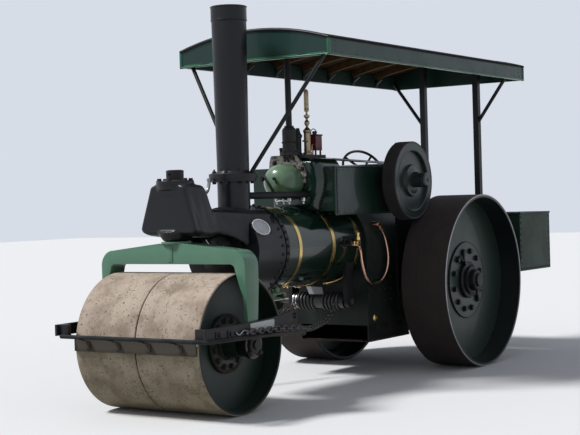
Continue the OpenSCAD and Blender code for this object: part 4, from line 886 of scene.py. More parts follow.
class ROLLER_OT_boiler(bpy.types.Operator):
    """Adds the bands' clips, the plugs, the barrel's cheeks and the fittings below the boiler"""
    bl_idname = "roller.boiler"
    bl_label = "Boiler"

    def execute(self, context):
        low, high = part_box("boiler_bands")
        z = Z_BOILER - BOILER_R
        bm = bmesh.new()
        for x in (high.x - 0.021, (low.x + high.x) / 2, low.x + 0.021):
            for y in (-0.018, 0.018):
                block(bm, (x - 0.014, y - 0.003, z - 0.016), (x + 0.014, y + 0.003, z + 0.006), 0.0015)
            rod(bm, (x, -0.032, z - 0.009), ALONG_Y, 0.064, 0.004, sides=12)
        finished("band_clips", bm, "band_brass")
        bm = bmesh.new()
        for x, angle in ((1.42, -118), (2.05, 158), (2.05, -158)):
            turn = math.radians(angle)
            way = Vector((0, math.sin(turn), math.cos(turn)))
            place = at(x, 0, Z_BOILER) + way * (BOILER_R - 0.004)
            turned(bm, PLUG, place, way, 24)
            bolt(bm, place + way * 0.009, way, 0.026)
        finished("washout_plugs", bm, "band_brass")
        bm = bmesh.new()
        belly = at(2.27, 0.1, 0.8)
        turned(bm, [(0, 0.0), (0.022, -0.002), (0.036, -0.012), (0.042, -0.03), (0.042, -0.2),
                    (0.03, -0.215), (0, -0.215)], belly, ALONG_X, 32)
        rod(bm, belly + Vector((-0.11, 0, 0.02)), UP, 0.07, 0.03, sides=24)
        finished("belly_pipe", bm, "cover_green")
        bm = bmesh.new()
        rod(bm, belly + Vector((-0.075, 0.03, 0)), ALONG_Y, 0.045, 0.012, sides=16)
        turned(bm, [(0, 0.03), (0.016, 0.026), (0.022, 0.014), (0.016, 0.002), (0.01, -0.004)],
               belly + Vector((-0.075, 0.072, 0)), ALONG_Y, 24)
        finished("belly_tap", bm, "black_iron")
        bm = bmesh.new()
        side_plate(bm, [(1.815, 0.856), (1.64, 0.838), (1.622, 0.776), (1.77, 0.786)], 0.225, 0.05, 0.004)
        finished("belly_bracket", bm, "steel")
        bm = bmesh.new()
        for y, radius in ((-0.262, 0.078), (-0.236, 0.072)):
            cheek = [(0, 0.0), (radius - 0.012, 0.0), (radius, 0.006), (radius, 0.012),
                     (radius - 0.01, 0.017), (0, 0.017)]
            turned(bm, cheek, at(BARREL_X, y, BARREL_Z), ALONG_Y, 64)
        finished("barrel_cheeks", bm, "bright")
        bm = bmesh.new()
        place = at(1.44, BOILER_R - 0.006, 1.215)
        turned(bm, [(0.012, 0.0), (0.034, 0.0), (0.034, 0.016), (0.022, 0.02), (0.022, 0.052),
                    (0.012, 0.052)], place, ALONG_Y, 24)
        bolt(bm, place + ALONG_Y * 0.05, ALONG_Y, 0.034)
        finished("check_valve_stub", bm, "black_iron")
        return {"FINISHED"}


class ROLLER_OT_cylinder(bpy.types.Operator):
    """Replaces the cylinder's block and front cover, and adds strap, knob, bolts and cocks"""
    bl_idname = "roller.cylinder"
    bl_label = "Cylinder"

    def execute(self, context):
        trim = context.scene.roller_trim
        z = (COVER_LOW.z + COVER_HIGH.z) / 2
        reach = 0.255
        bm = bmesh.new()
        turned(bm, [(0, reach), (0.034, 0.253), (0.066, 0.245), (0.096, 0.23), (0.121, 0.207),
                    (0.139, 0.178), (0.15, 0.145), (0.155, 0.11), (0.156, 0.075), (0.156, 0.004),
                    (0.15, 0.0), (0, 0.0)],
               (COVER_LOW.x, (COVER_LOW.y + COVER_HIGH.y) / 2, z), ALONG_X, 96)
        finished("cylinder_cover_dome", bm, "cover_green", "root", ("cylinder_cover",), 60)
        bm = bmesh.new()
        nose = Vector((COVER_LOW.x + reach, 0, z))
        route = smooth_run(
            nose, (-0.088, -0.132, 0.062), (-0.028, -0.098, 0.05), (0.002, -0.05, 0.008),
            (0.002, -0.018, -0.04), (-0.012, 0, -0.086), (-0.04, 0.006, -0.122))
        for place, after in zip(route, route[1:]):
            way = after - place
            middle = (place + after) / 2
            across = ALONG_X.cross(way).normalized()
            turn = Matrix((across, ALONG_X, way.normalized())).transposed().to_4x4()
            size = Vector((0.011, 0.004, way.length * 0.56))
            block(bm, middle - size, middle + size, 0.0015, turn)
        bolt(bm, nose + Vector((0.008, -0.092, 0.03)), ALONG_X, trim.bolt * 0.9)
        finished("cover_strap", bm, "black_iron")
        bm = bmesh.new()
        turned(bm, [(0, 0.026), (0.012, 0.024), (0.016, 0.014), (0.01, 0.006), (0.01, -0.004)],
               nose + Vector((-0.002, 0.028, 0.03)), ALONG_X, 24)
        grip = smooth_run(nose, (0.014, 0.028, 0.03), (0.012, 0.044, 0.008), (0.004, 0.052, -0.012))
        tube(bm, grip, 0.006, 8)
        finished("cover_knob", bm, "black_iron")
        bm = bmesh.new()
        front = Vector((COVER_HIGH.x, 0, 0))
        for y in (-0.014, 0.02):
            start = front + Vector((-0.032, 0.004, z - 0.112))
            bar(bm, start, front + Vector((-0.03, y, z - 0.148)), 0.006)
        tube(bm, smooth_run(front, (-0.1, -0.1, 1.59), (-0.02, 0.02, 1.6), (0.02, 0.1, 1.585)), 0.009, 10)
        for x, y, tall in ((-0.105, -0.105, 0.055), (-0.015, 0.025, 0.048), (0.015, 0.105, 0.05),
                           (-0.12, 0.16, 0.06)):
            place = front + Vector((x, y, 1.575))
            turned(bm, [(0, tall), (0.01, tall), (0.01, tall - 0.008), (0.018, tall - 0.014), (0.018, 0.01),
                        (0.008, 0.004), (0.008, -0.012), (0, -0.012)], place, UP, 16)
            bar(bm, place + UP * 0.02, place + Vector((0.035, 0.02, 0.03)), 0.004, 8)
        finished("drain_cocks", bm, "bright")
        bm = bmesh.new()
        side = [(0.205, 1.954), (0.262, 1.944), (0.303, 1.905), (0.326, 1.85), (0.336, 1.785),
                (0.332, 1.715), (0.315, 1.64), (0.285, 1.57), (0.262, 1.505), (0.2, 1.49)]
        ring = [(point.y, point.z) for point in spread([(0, y, up) for y, up in side], 4)]
        ring += [(-0.19, 1.49), (-0.2, 1.5), (-0.2, 1.9), (-0.185, 1.945), (-0.17, 1.954), (0.02, 1.954)]
        here, before = 1.44, 1.0
        verts = [bm.verts.new(at(here, y, up)) for y, up in ring]
        edges = [bm.edges.new(pair) for pair in zip(verts, [*verts[1:], verts[0]])]
        bmesh.ops.contextual_create(bm, geom=edges)
        middle = Vector((0, 0.06, 1.735))
        for x, share in ((1.69, 1.0), (1.716, 0.985), (1.738, 0.95), (1.754, 0.9), (1.764, 0.83),
                         (1.769, 0.74)):
            grown = bmesh.ops.extrude_edge_only(bm, edges=edges)["geom"]
            edges, moved = edges_of(grown), verts_of(grown)
            bmesh.ops.translate(bm, verts=moved, vec=(x - here, 0, 0))
            bmesh.ops.scale(bm, verts=moved, vec=(1, share / before, share / before),
                            space=Matrix.Translation(-middle))
            here, before = x, share
        bmesh.ops.contextual_create(bm, geom=edges)
        finished("cylinder_block", bm, "bottle_green", "root", ("cylinder_casting",))
        bm = bmesh.new()
        face = X_REAR + 1.7865
        for y, up in ((-0.15, 0.01), (-0.16, 0.09), (-0.13, 0.17), (0.06, 0.205), (0.155, 0.11)):
            bolt(bm, (face, y, z + up), ALONG_X, trim.bolt * 0.8)
        finished("cylinder_bolts", bm, "rusty")
        bm = bmesh.new()
        for y, up in ((0, 0), (0.03, 0.012), (-0.028, 0.01), (0.012, -0.02), (-0.02, -0.016)):
            place = (face - 0.0005, y, z + 0.205 + up)
            turned(bm, [(0, 0.004), (0.01, 0.004), (0.015, 0.0)], place, ALONG_X, 12)
        finished("flange_scars", bm, "rusty")
        return {"FINISHED"}


class ROLLER_OT_safety_gear(bpy.types.Operator):
    """Dresses the valves, the whistle and the lubricator with its oil pipes"""
    bl_idname = "roller.safety_gear"
    bl_label = "Safety gear"

    def execute(self, context):
        top = TOP_HIGH.z
        bm = bmesh.new()
        housing = at(1.744, 0, top)
        bolt_ring(bm, housing + UP * 0.022, UP, 0.074, 8, 0.022)
        turned(bm, [(0.0612, -0.008), (0.068, -0.005), (0.068, 0.005), (0.0612, 0.008)],
               housing + UP * 0.11, UP)
        for y in (-0.12, -0.07):
            rod(bm, at(1.7, y, top), UP, 0.05, 0.012, sides=16)
            bolt(bm, at(1.7, y, top + 0.05), UP, 0.03)
        bar(bm, at(1.644, -0.01, top + 0.175), at(1.52, -0.1, top + 0.15), 0.007)
        bar(bm, at(1.52, -0.1, top), at(1.52, -0.1, top + 0.155), 0.009)
        finished("valve_fittings", bm, "rusty")
        bm = bmesh.new()
        stem = at(1.605, 0.095, top)
        rod(bm, stem + Vector((0, 0, 0.12)), ALONG_X, 0.07, 0.008, sides=12)
        bar(bm, stem + Vector((0.066, 0, 0.12)), stem + Vector((0.074, 0.06, 0.11)), 0.005)
        turned(bm, [(0.0212, -0.003), (0.024, 0.0), (0.0212, 0.003)], stem + UP * 0.4, UP, 32)
        bolt(bm, stem + UP * 0.04, UP, 0.05)
        finished("whistle_fittings", bm, "old_brass")
        bm = bmesh.new()
        lid = at(1.496, 0.092, top + 0.178)
        block(bm, lid - Vector((0.057, 0.059, 0.011)), lid + Vector((0.057, 0.059, 0.002)), 0.003)
        turned(bm, [(0, 0.012), (0.016, 0.01), (0.023, 0.0), (0.023, -0.006)],
               (lid.x, lid.y + 0.01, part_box("lubricator")[1].z), UP, 24)
        handle = smooth_run(
            lid, (-0.04, 0, 0), (-0.044, 0, 0.03), (0, 0, 0.052), (0.044, 0, 0.03), (0.04, 0, 0))
        tube(bm, handle, 0.004, 8)
        spouts = [lid + Vector((0.05, y, -0.088)) for y in (-0.03, 0.01, 0.04)]
        for spout in spouts:
            turned(bm, [(0, 0.03), (0.007, 0.03), (0.007, 0.016), (0.012, 0.012), (0.012, 0.0)],
                   spout, ALONG_X, 16)
        finished("lubricator_fittings", bm, "oiler_black")
        bm = bmesh.new()
        for spout in spouts:
            pipe = smooth_run(
                spout, (0.028, 0, 0), (0.044, 0, -0.014), (0.046, 0.004, -0.08), (0.046, 0.012, -0.09))
            tube(bm, pipe, 0.003, 8)
        finished("oil_pipes", bm, "copper")
        return {"FINISHED"}


class ROLLER_OT_motion(bpy.types.Operator):
    """Adds beads, rivets and hinges to the motion's covers"""
    bl_idname = "roller.motion"
    bl_label = "Motion covers"

    def execute(self, context):
        trim = context.scene.roller_trim
        bead = trim.moulding
        front, back = COVERS_HIGH.x, COVERS_LOW.x
        low, top = COVERS_LOW.z, COVERS_TOP
        out = COVERS_HIGH.y
        bm = bmesh.new()
        for z in (low + bead, top - bead):
            bar(bm, (back, out, z), (front, out, z), bead, 12)
        for x in (front - bead, front - 0.04):
            bar(bm, (x, out, low), (x, out, top), bead, 12)
        bar(bm, (back + bead, out, low), (back + bead, out, top), bead, 12)
        both_sides(bm)
        finished("cover_beads", bm, "covers_green")
        bm = bmesh.new()
        for z in (low + 0.032, top - 0.03):
            rivets(bm, (back + 0.05, out, z), (front - 0.07, out, z), 0.085, 0.005)
        rivets(bm, (front - 0.055, out, low + 0.04), (front - 0.055, out, top - 0.04), 0.07, 0.005)
        both_sides(bm)
        finished("cover_rivets", bm, "covers_green")
        bm = bmesh.new()
        for y in (-0.3, 0.3):
            for x in (back + 0.62, front - 0.42):
                block(bm, (x - 0.035, y - 0.018, top), (x + 0.035, y + 0.018, top + 0.006))
        block(bm, (front - 0.44, -0.055, top), (front - 0.4, 0.055, top + 0.005))
        finished("cover_hinges", bm, "black_iron")
        return {"FINISHED"}


class ROLLER_OT_flywheel(bpy.types.Operator):
    """Adds the flywheel's rings and key and the end of its shaft"""
    bl_idname = "roller.flywheel"
    bl_label = "Flywheel"

    def execute(self, context):
        hub = Vector((X_CRANK, FLY_HIGH.y, Z_CRANK))
        bm = bmesh.new()
        for ring in (((0.76, 0.0), (0.775, 0.004), (0.8, 0.004), (0.815, 0.0)),
                     ((0.955, 0.0), (0.962, 0.002), (0.985, 0.002), (0.988, -0.002))):
            turned(bm, [(FLY_R * share, out) for share, out in ring], hub, ALONG_Y, 96)
        turned(bm, [(0.0655, 0.0), (0.0655, 0.01), (0.098, 0.008), (0.12, 0.0)], hub, ALONG_Y, 64)
        finished("flywheel_rings", bm, "flywheel_iron", "flywheel")
        bm = bmesh.new()
        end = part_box("crankshaft")[1].y
        block(bm, hub + Vector((-0.011, -0.01, 0.06)), hub + Vector((0.011, 0.05, 0.076)))
        turned(bm, [(0, 0.003), (0.018, 0.003), (0.02, 0.0)], (X_CRANK, end, Z_CRANK), ALONG_Y, 24)
        turned(bm, [(0.0655, -0.008), (0.0685, -0.006), (0.0685, 0.006), (0.0655, 0.008)],
               (X_CRANK, end - 0.045, Z_CRANK), ALONG_Y)
        bolt(bm, (X_CRANK - FLY_R * 0.86, FLY_HIGH.y - 0.002, Z_CRANK + 0.03), ALONG_Y, 0.022)
        finished("flywheel_key", bm, "black_iron", "flywheel")
        return {"FINISHED"}


class ROLLER_OT_rear_wheels(bpy.types.Operator):
    """Adds the rear wheels' bolts, drive-pin brackets, rivets and rim edges"""
    bl_idname = "roller.rear_wheels"
    bl_label = "Rear wheels"

    def execute(self, context):
        trim = context.scene.roller_trim
        for side, name in ((1, "left"), (-1, "right")):
            body = "rear_wheel_" + name
            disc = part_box("wheel_disc_" + name)
            out = ALONG_Y * side
            plate_face = disc[1].y if side > 0 else disc[0].y
            centre = Vector((X_REAR, plate_face, WHEEL_R))
            bm = bmesh.new()
            bolt_ring(bm, centre, out, 0.275, 12, trim.bolt * 1.25, math.radians(15))
            for angle in (62, 215):
                turn = math.radians(angle)
                way = Vector((math.cos(turn), 0, math.sin(turn)))
                across = Vector((-math.sin(turn), 0, math.cos(turn)))
                foot = centre + way * 0.185 + out * 0.016
                for lean in (-1, 1):
                    bar(bm, foot, foot + way * 0.1 + across * lean * 0.055, 0.013, 10)
                rod(bm, foot - out * 0.014, out, 0.04, 0.019, sides=16)
            finished("hub_bolts_" + name, bm, "black_iron", body)
            bm = bmesh.new()
            turned(bm, [(0.349, -0.01), (0.349, 0.002), (0.357, 0.002), (0.361, -0.01)], centre, out, 128)
            turned(bm, [(0.15, 0.018), (0.15, 0.034), (0.162, 0.034), (0.17, 0.026), (0.17, 0.018)], centre,
                   out, 64)
            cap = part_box("wheel_hub_" + name)
            end = cap[1].y if side > 0 else cap[0].y
            turned(bm, [(0.06, -0.004), (0.06, 0.003), (0.072, 0.003), (0.078, -0.004)],
                   (X_REAR, end, WHEEL_R), out)
            bolt_ring(bm, centre + out * 0.022, out, 0.128, 6, 0.026, 0.4)
            finished("hub_rings_" + name, bm, "black_iron", body)
            bm = bmesh.new()
            turned(bm, [(WHEEL_R - 0.012, -0.003), (WHEEL_R - 0.011, 0.0005), (WHEEL_R - 0.002, 0.0005),
                        (WHEEL_R - 0.0005, -0.003)], (X_REAR, WHEEL_HIGH.y * side, WHEEL_R), out, 160)
            finished("rim_edge_" + name, bm, "steel", body)
            bm = bmesh.new()
            for i in range(40):
                angle = 2 * math.pi * i / 40
                around = Vector((math.cos(angle), 0, math.sin(angle)))
                head(bm, centre + around * (WHEEL_R - 0.052) - out * 0.012, 0.01)
            finished("disc_rivets_" + name, bm, "disc_green", body)
        return {"FINISHED"}


class ROLLER_OT_firebox(bpy.types.Operator):
    """Adds rows of stay heads, plugs, the ashpan's lip and the gauges on the backhead"""
    bl_idname = "roller.firebox"
    bl_label = "Firebox"

    def execute(self, context):
        low, high = FIREBOX_LOW, FIREBOX_HIGH
        face = high.y - 0.001
        bm = bmesh.new()
        for row in range(6):
            z = low.z + 0.1 + row * 0.105
            rivets(bm, (high.x - 0.07, face, z), (low.x + 0.07, face, z), 0.115, 0.011)
        for x in (high.x - 0.02, low.x + 0.02):
            rivets(bm, (x, face, low.z + 0.05), (x, face, Z_BOILER), 0.055)
        rivets(bm, (high.x - 0.04, face, low.z + 0.03), (low.x + 0.04, face, low.z + 0.03), 0.055)
        both_sides(bm)
        finished("stay_heads", bm, "firebox_green")
        bm = bmesh.new()
        for x in (low.x + 0.12, high.x - 0.12):
            place = Vector((x, high.y - 0.002, low.z + 0.06))
            turned(bm, PLUG, place, ALONG_Y, 24)
            bolt(bm, place + ALONG_Y * 0.009, ALONG_Y, 0.026)
        both_sides(bm)
        finished("firebox_plugs", bm, "band_brass")
        bm = bmesh.new()
        ash_low, ash_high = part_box("ashpan")
        out = ash_high.y
        block(bm, (ash_low.x + 0.01, out, ash_low.z), (ash_high.x - 0.01, out + 0.012, ash_low.z + 0.022),
              0.003)
        for share in (0.2, 0.5, 0.8):
            x = ash_low.lerp(ash_high, share).x
            block(bm, (x - 0.012, out, ash_high.z - 0.045), (x + 0.012, out + 0.007, ash_high.z - 0.003))
        both_sides(bm)
        block(bm, (ash_high.x, -0.3, ash_low.z), (ash_high.x + 0.008, 0.3, ash_low.z + 0.02), 0.003)
        finished("ashpan_lip", bm, "rusty")
        bm = bmesh.new()
        for y, z in ((-0.2, 1.34), (0.16, 1.36)):
            turned(bm, [(0, 0.034), (0.044, 0.034), (0.052, 0.026), (0.052, 0.0)],
                   (low.x, y, z), -ALONG_X, 32)
        for y in (-0.3, -0.26):
            turned(bm, [(0.008, 0.02), (0.016, 0.02), (0.016, 0.0)], (low.x, y, 1.2), -ALONG_X, 16)
            bar(bm, (low.x - 0.024, y, 1.1), (low.x - 0.024, y, 1.3), 0.008)
            for z in (1.105, 1.295):
                bar(bm, (low.x, y, z), (low.x - 0.03, y, z), 0.01)
        finished("backhead_gauges", bm, "band_brass")
        return {"FINISHED"}


class ROLLER_OT_tender(bpy.types.Operator):
    """Adds the tender's beads, rivets, filler lid and drawbar bolts"""
    bl_idname = "roller.tender"
    bl_label = "Tender"

    def execute(self, context):
        trim = context.scene.roller_trim
        low, high = BUNKER_LOW, BUNKER_HIGH
        bead = trim.moulding * 1.4
        bm = bmesh.new()
        z = high.z - bead * 0.4
        loop = [(low.x, low.y, z), (high.x, low.y, z), (high.x, high.y, z), (low.x, high.y, z)]
        for start, end in zip(loop, loop[1:] + loop[:1]):
            bar(bm, start, end, bead, 12)
        for y in (0.005 - FLOOR_HIGH.y, FLOOR_HIGH.y - 0.005):
            bar(bm, (FLOOR_LOW.x + 0.02, y, FLOOR_HIGH.z), (FLOOR_HIGH.x, y, FLOOR_HIGH.z), bead, 12)
        finished("tender_beads", bm, "bunker_green")
        bm = bmesh.new()
        gap = trim.rivet * 2.4
        back, front = low.x + gap, high.x - gap
        foot, top = low.z + gap, high.z - 0.04
        rivets(bm, (back, high.y, foot), (front, high.y, foot), 0.06, trim.rivet)
        for x, y in ((back, high.y), (front, high.y), (low.x, high.y - gap)):
            rivets(bm, (x, y, foot), (x, y, top), 0.06, trim.rivet)
        both_sides(bm)
        rivets(bm, (low.x, low.y + gap, foot), (low.x, high.y - gap, foot), 0.06, trim.rivet)
        finished("tender_rivets", bm, "bunker_green")
        bm = bmesh.new()
        lid = Vector((low.x + 0.36, high.y - 0.28, high.z))
        turned(bm, [(0, 0.012), (0.095, 0.01), (0.105, 0.006), (0.105, -0.004)], lid, UP)
        turned(bm, [(0.104, -0.004), (0.118, -0.004), (0.118, 0.003), (0.104, 0.005)], lid, UP)
        rod(bm, lid + Vector((-0.012, 0.106, 0.006)), ALONG_X, 0.024, 0.005, sides=12)
        finished("filler_lid", bm, "bunker_green")
        bm = bmesh.new()
        for y in (-0.075, 0.075):
            bolt(bm, (low.x, y, low.z + 0.03), -ALONG_X, trim.bolt)
        finished("drawbar_bolts", bm, "black_iron")
        return {"FINISHED"}


class ROLLER_OT_canopy(bpy.types.Operator):
    """Adds the canopy's mouldings, roof edges, brackets, post feet and screws"""
    bl_idname = "roller.canopy"
    bl_label = "Canopy"

    def execute(self, context):
        trim = context.scene.roller_trim
        low, high = FASCIA_LOW, FASCIA_HIGH
        half = high.y
        bead = trim.moulding
        arches = []
        bm = bmesh.new()
        for x, way in ((high.x, 1), (low.x, -1)):
            for y in (-half, half):
                block(bm, (x - 0.02, y - 0.02, low.z - 0.004), (x + 0.006, y + 0.006, FASCIA_SIDE_Z), 0.005)
            strip = []
            for i in range(17):
                share = i / 8 - 1
                rise = 0.116 * (1 - share * share)
                strip.append(Vector((x + way * 0.002, half * share, FASCIA_SIDE_Z - 0.01 + rise)))
            arches.append(strip)
        for y in (-half, half):
            bar(bm, (low.x, y, low.z + bead), (high.x, y, low.z + bead), bead * 1.1, 12)
            bar(bm, (low.x, y, FASCIA_SIDE_Z - 0.008), (high.x, y, FASCIA_SIDE_Z - 0.008), bead, 12)
        for x in (low.x, high.x):
            bar(bm, (x, -half, low.z + bead), (x, half, low.z + bead), bead * 1.1, 12)
        for start, stop in ((-0.715, -0.53), (-0.453, 0.453), (0.53, 0.715)):
            block(bm, (high.x - 0.004, start, low.z + 0.001), (high.x + 0.006, stop, low.z + 0.024))
        finished("canopy_mouldings", bm, "moulding_green")
        bm = bmesh.new()
        for strip in arches:
            tube(bm, strip, 0.013, 8)
        finished("canopy_roof_edges", bm, "black_iron")
        bm = bmesh.new()
        inner = half - 0.024
        pitch = (ROOF_HIGH.x - ROOF_LOW.x - 0.024) / 8
        for i in range(1, 8):
            x = low.x + i * pitch
            block(bm, (x - 0.02, inner - 0.01, low.z + 0.01), (x + 0.02, inner - 0.0005, low.z + 0.105))
            block(bm, (x - 0.014, inner - 0.085, low.z + 0.06), (x + 0.014, inner - 0.004, low.z + 0.068),
                  turn=Matrix.Rotation(math.radians(-38), 4, "X"))
        both_sides(bm)
        finished("canopy_brackets", bm, "black_iron")
        bm = bmesh.new()
        place = at(-1.31, 0.31, BUNKER_HIGH.z)
        for x in (-0.055, 0.055):
            bolt(bm, place + Vector((x, 0, 0.008)), UP, 0.028)
        for x in (-0.08, 0.0305):
            block(bm, place + Vector((x, -0.045, 0)), place + Vector((x + 0.0495, 0.045, 0.009)))
        both_sides(bm)
        finished("post_feet", bm, "black_iron")
        bm = bmesh.new()
        for y in (-half, half):
            for x in (low.x + 0.1, high.x - 0.1):
                rivets(bm, (x, y, low.z + 0.04), (x, y, FASCIA_SIDE_Z - 0.04), 0.035, 0.005)
            rivets(bm, (low.x + 0.2, y, low.z + 0.03), (high.x - 0.2, y, low.z + 0.03), 0.235, 0.005)
        finished("fascia_screws", bm, "fascia_green")
        return {"FINISHED"}


class ROLLER_OT_chains(bpy.types.Operator):
    """Runs each steering chain in one piece from the fork's arm to the barrel"""
    bl_idname = "roller.chains"
    bl_label = "Steering chains"

    def execute(self, context):
        hook = at(3.5, ARM_OUT + 0.027, 0.646)
        end = at(BARREL_X + BARREL_R + LINK_D * 1.75 + 0.0003, 0.2, BARREL_Z)
        way = [(3.35, 0.746, 0.64), (3.15, 0.746, 0.634), (2.95, 0.744, 0.62), (2.78, 0.732, 0.606),
               (2.64, 0.67, 0.588), (2.46, 0.582, 0.566), (2.25, 0.506, 0.552), (2.0, 0.416, 0.55),
               (1.76, 0.33, 0.558), (1.56, 0.258, 0.596), (1.45, 0.218, 0.65)]
        curve = spread([hook, *[at(x, y, z) for x, y, z in way], end], 12)
        lengths = [0.0, *itertools.accumulate((b - a).length for a, b in zip(curve, curve[1:]))]

        def place_at(length):
            i = min(max(bisect.bisect_right(lengths, length) - 1, 0), len(curve) - 2)
            return curve[i].lerp(curve[i + 1], (length - lengths[i]) / (lengths[i + 1] - lengths[i]))

        count = round(lengths[-1] / LINK_PITCH)
        pitch = (lengths[-1] - LINK_D * 1.5) / count
        straight = pitch - 2 * LINK_R + LINK_D + 0.0003
        first = pitch / 2 + 0.01
        outline = []
        for side in (1, -1):
            for i in range(9):
                angle = math.pi * (i / 8 - side / 2)
                outline.append(
                    Vector((side * straight / 2 + LINK_R * math.cos(angle), LINK_R * math.sin(angle), 0)))
        template = bmesh.new()
        tube(template, outline, LINK_D / 2, 10, closed=True)
        bmesh.ops.recalc_face_normals(template, faces=template.faces)
        link = bpy.data.meshes.new("link")
        template.to_mesh(link)
        template.free()
        bm = bmesh.new()
        for mirror in (1, -1):
            for k in range(count):
                middle = first + k * pitch
                ahead = (place_at(middle + pitch / 2) - place_at(middle - pitch / 2)).normalized()
                across = UP.cross(ahead).normalized()
                turn = Matrix((ahead, across, ahead.cross(across))).transposed().to_4x4()
                turn = turn @ Matrix.Rotation(math.radians(90 * (k % 2)), 4, "X")
                matrix = Matrix.Diagonal((1, mirror, 1, 1)) @ Matrix.Translation(place_at(middle)) @ turn
                start = len(bm.verts)
                bm.from_mesh(link)
                bm.verts.ensure_lookup_table()
                bmesh.ops.transform(bm, verts=bm.verts[start:], matrix=matrix)
        bpy.data.meshes.remove(link)
        piece = finished(
            "steering_chain_runs", bm, "chain_iron", None, ("fork_chains", "steering_chains"), 50.0)
        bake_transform(piece)
        return {"FINISHED"}


class ROLLER_OT_pipes(bpy.types.Operator):
    """Replaces the feed pipe and adds its brass valve and its nuts"""
    bl_idname = "roller.pipes"
    bl_label = "Pipes"

    def execute(self, context):
        bm = bmesh.new()
        valve = at(1.34, FEED_Y, 1.205)
        turned(bm, [(0, 0.0), (0.02, 0.0), (0.026, -0.006), (0.026, -0.02), (0.0302, -0.024),
                    (0.0302, -0.034)], valve, ALONG_Y, 32)
        turned(bm, [(0.012, 0.0), (0.022, 0.0), (0.022, 0.03), (0.014, 0.034), (0.014, 0.052),
                    (0.018, 0.054), (0.018, 0.064), (0, 0.066)],
               valve + Vector((0, -0.016, 0.026)), UP, 24)
        rod(bm, valve + Vector((0.026, -0.016, 0)), ALONG_X, 0.04, 0.012, sides=16)
        bar(bm, valve + Vector((0.064, -0.016, -0.018)), valve + Vector((0.064, -0.016, 0.018)), 0.007)
        finished("clack_valve", bm, "band_brass")
        bm = bmesh.new()
        bends = [(1.33, 1.19), (1.3, 1.128), (1.281, 1.036), (1.23, 0.92), (1.15, 0.85), (1.066, 0.832),
                 (0.96, 0.85), (0.87, 0.915), (0.825, 1.0), (0.822, 1.1), (0.866, 1.23), (0.925, 1.31),
                 (0.975, 1.352)]
        tube(bm, spread([at(x, FEED_Y - 0.016, z) for x, z in bends], 6), 0.0115, 16)
        turned(bm, [(0, 0.0), (0.02, 0.0), (0.022, -0.004), (0.022, -0.07)],
               at(0.984, FEED_Y - 0.002, 1.36), ALONG_Y, 32)
        turned(bm, [(0, 0.0), (0.028, 0.0), (0.03, -0.004), (0.03, -0.08)], valve - ALONG_Y * 0.001,
               ALONG_Y, 32)
        finished("feed_pipe_run", bm, "copper", "root", ("feed_pipe",), 50.0)
        bm = bmesh.new()
        for place, way in ((valve + Vector((-0.02, -0.016, -0.034)), (-0.5, 0, -0.8)),
                           (at(0.96, FEED_Y - 0.016, 1.338), (-0.75, 0, -0.6))):
            rod(bm, place, way, 0.028, 0.019, sides=6)
        finished("pipe_nuts", bm, "copper")
        return {"FINISHED"}


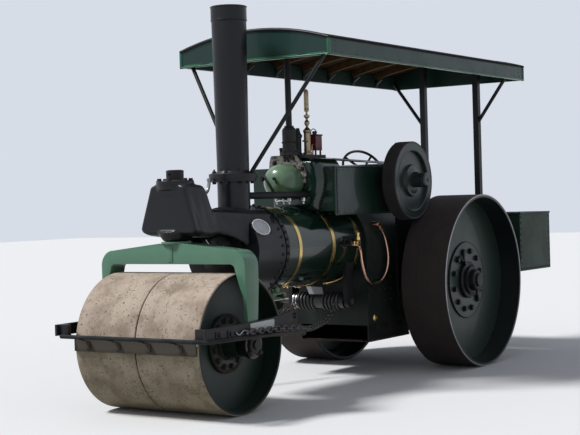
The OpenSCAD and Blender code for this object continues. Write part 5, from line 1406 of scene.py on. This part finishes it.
class ROLLER_OT_stage(bpy.types.Operator):
    """Places the camera, the floor, the sky and the sun"""
    bl_idname = "roller.stage"
    bl_label = "Stage"

    def execute(self, context):
        scene = context.scene
        settings = scene.roller_stage
        view = bpy.data.cameras.new("photo_view")
        view.sensor_width = 36.0
        view.lens = settings.lens
        view.clip_end = 500.0
        camera = bpy.data.objects.new("photo_view", view)
        pitch, yaw = settings.camera_pitch, settings.camera_yaw
        ahead = Vector((math.cos(pitch) * math.cos(yaw), math.cos(pitch) * math.sin(yaw), math.sin(pitch)))
        turn = ahead.to_track_quat("-Z", "Y").to_matrix().to_4x4()
        turn = turn @ Matrix.Rotation(settings.camera_roll, 4, "Z")
        camera.matrix_world = Matrix.Translation(settings.camera_place) @ turn
        scene.collection.objects.link(camera)
        scene.camera = camera
        scene.view_settings.view_transform = "Standard"

        bm = bmesh.new()
        bmesh.ops.create_grid(bm, x_segments=1, y_segments=1, size=settings.floor_size / 2)
        mesh = bpy.data.meshes.new("floor")
        bm.to_mesh(mesh)
        bm.free()
        floor = bpy.data.objects.new("floor", mesh)
        scene.collection.objects.link(floor)
        ground = bpy.data.materials.new("floor")
        ground.use_nodes = True
        tree = Tree(ground.node_tree)
        shader = tree.nodes["Principled BSDF"].inputs
        tree.put(tree.mix(tree.seen(), (0.22, 0.24, 0.18), (0.8, 0.8, 0.8)), shader["Base Color"])
        tree.put(0.9, shader["Roughness"])
        mesh.materials.append(ground)

        world = bpy.data.worlds.new("studio")
        world.use_nodes = True
        tree = Tree(world.node_tree)
        background = tree.nodes["Background"].inputs
        tree.put((0.85, 0.9, 1.0), background["Color"])
        level = tree.plus(tree.times(tree.seen(), settings.backdrop - settings.sky), settings.sky)
        tree.put(level, background["Strength"])
        scene.world = world
        sun = bpy.data.lights.new("sun", "SUN")
        sun.energy = settings.sun
        sun.angle = math.radians(12)
        lamp = bpy.data.objects.new("sun", sun)
        lamp.rotation_euler = Vector((-0.52, 0.58, -1.0)).to_track_quat("-Z", "Y").to_euler()
        scene.collection.objects.link(lamp)
        return {"FINISHED"}


class ROLLER_PT_panel(bpy.types.Panel):
    """Lists the steps that dress the roller"""
    bl_label = "Road roller"
    bl_idname = "ROLLER_PT_panel"
    bl_space_type = "VIEW_3D"
    bl_region_type = "UI"
    bl_category = "Roller"

    def draw(self, context):
        for step in STEPS:
            self.layout.operator(step.bl_idname)


STEPS = (
    ROLLER_OT_finishes, ROLLER_OT_front_roll, ROLLER_OT_fork, ROLLER_OT_arms, ROLLER_OT_headstock,
    ROLLER_OT_smokebox, ROLLER_OT_chimney, ROLLER_OT_boiler, ROLLER_OT_cylinder, ROLLER_OT_safety_gear,
    ROLLER_OT_motion, ROLLER_OT_flywheel, ROLLER_OT_rear_wheels, ROLLER_OT_firebox, ROLLER_OT_tender,
    ROLLER_OT_canopy, ROLLER_OT_chains, ROLLER_OT_pipes, ROLLER_OT_stage)
SETTINGS = (PaintSettings, TrimSettings, StageSettings)


def register():
    """Registers the settings, the operators and the panel."""
    for cls in (*SETTINGS, *STEPS, ROLLER_PT_panel):
        bpy.utils.register_class(cls)
    bpy.types.Scene.roller_paint = bpy.props.PointerProperty(type=PaintSettings)
    bpy.types.Scene.roller_trim = bpy.props.PointerProperty(type=TrimSettings)
    bpy.types.Scene.roller_stage = bpy.props.PointerProperty(type=StageSettings)


def unregister():
    """Takes away what register() added."""
    del bpy.types.Scene.roller_stage
    del bpy.types.Scene.roller_trim
    del bpy.types.Scene.roller_paint
    for cls in reversed((*SETTINGS, *STEPS, ROLLER_PT_panel)):
        bpy.utils.unregister_class(cls)


def main():
    """Dresses the frame step by step."""
    register()
    for step in STEPS:
        area, name = step.bl_idname.split(".")
        getattr(getattr(bpy.ops, area), name)()


if __name__ == "__main__":
    main()
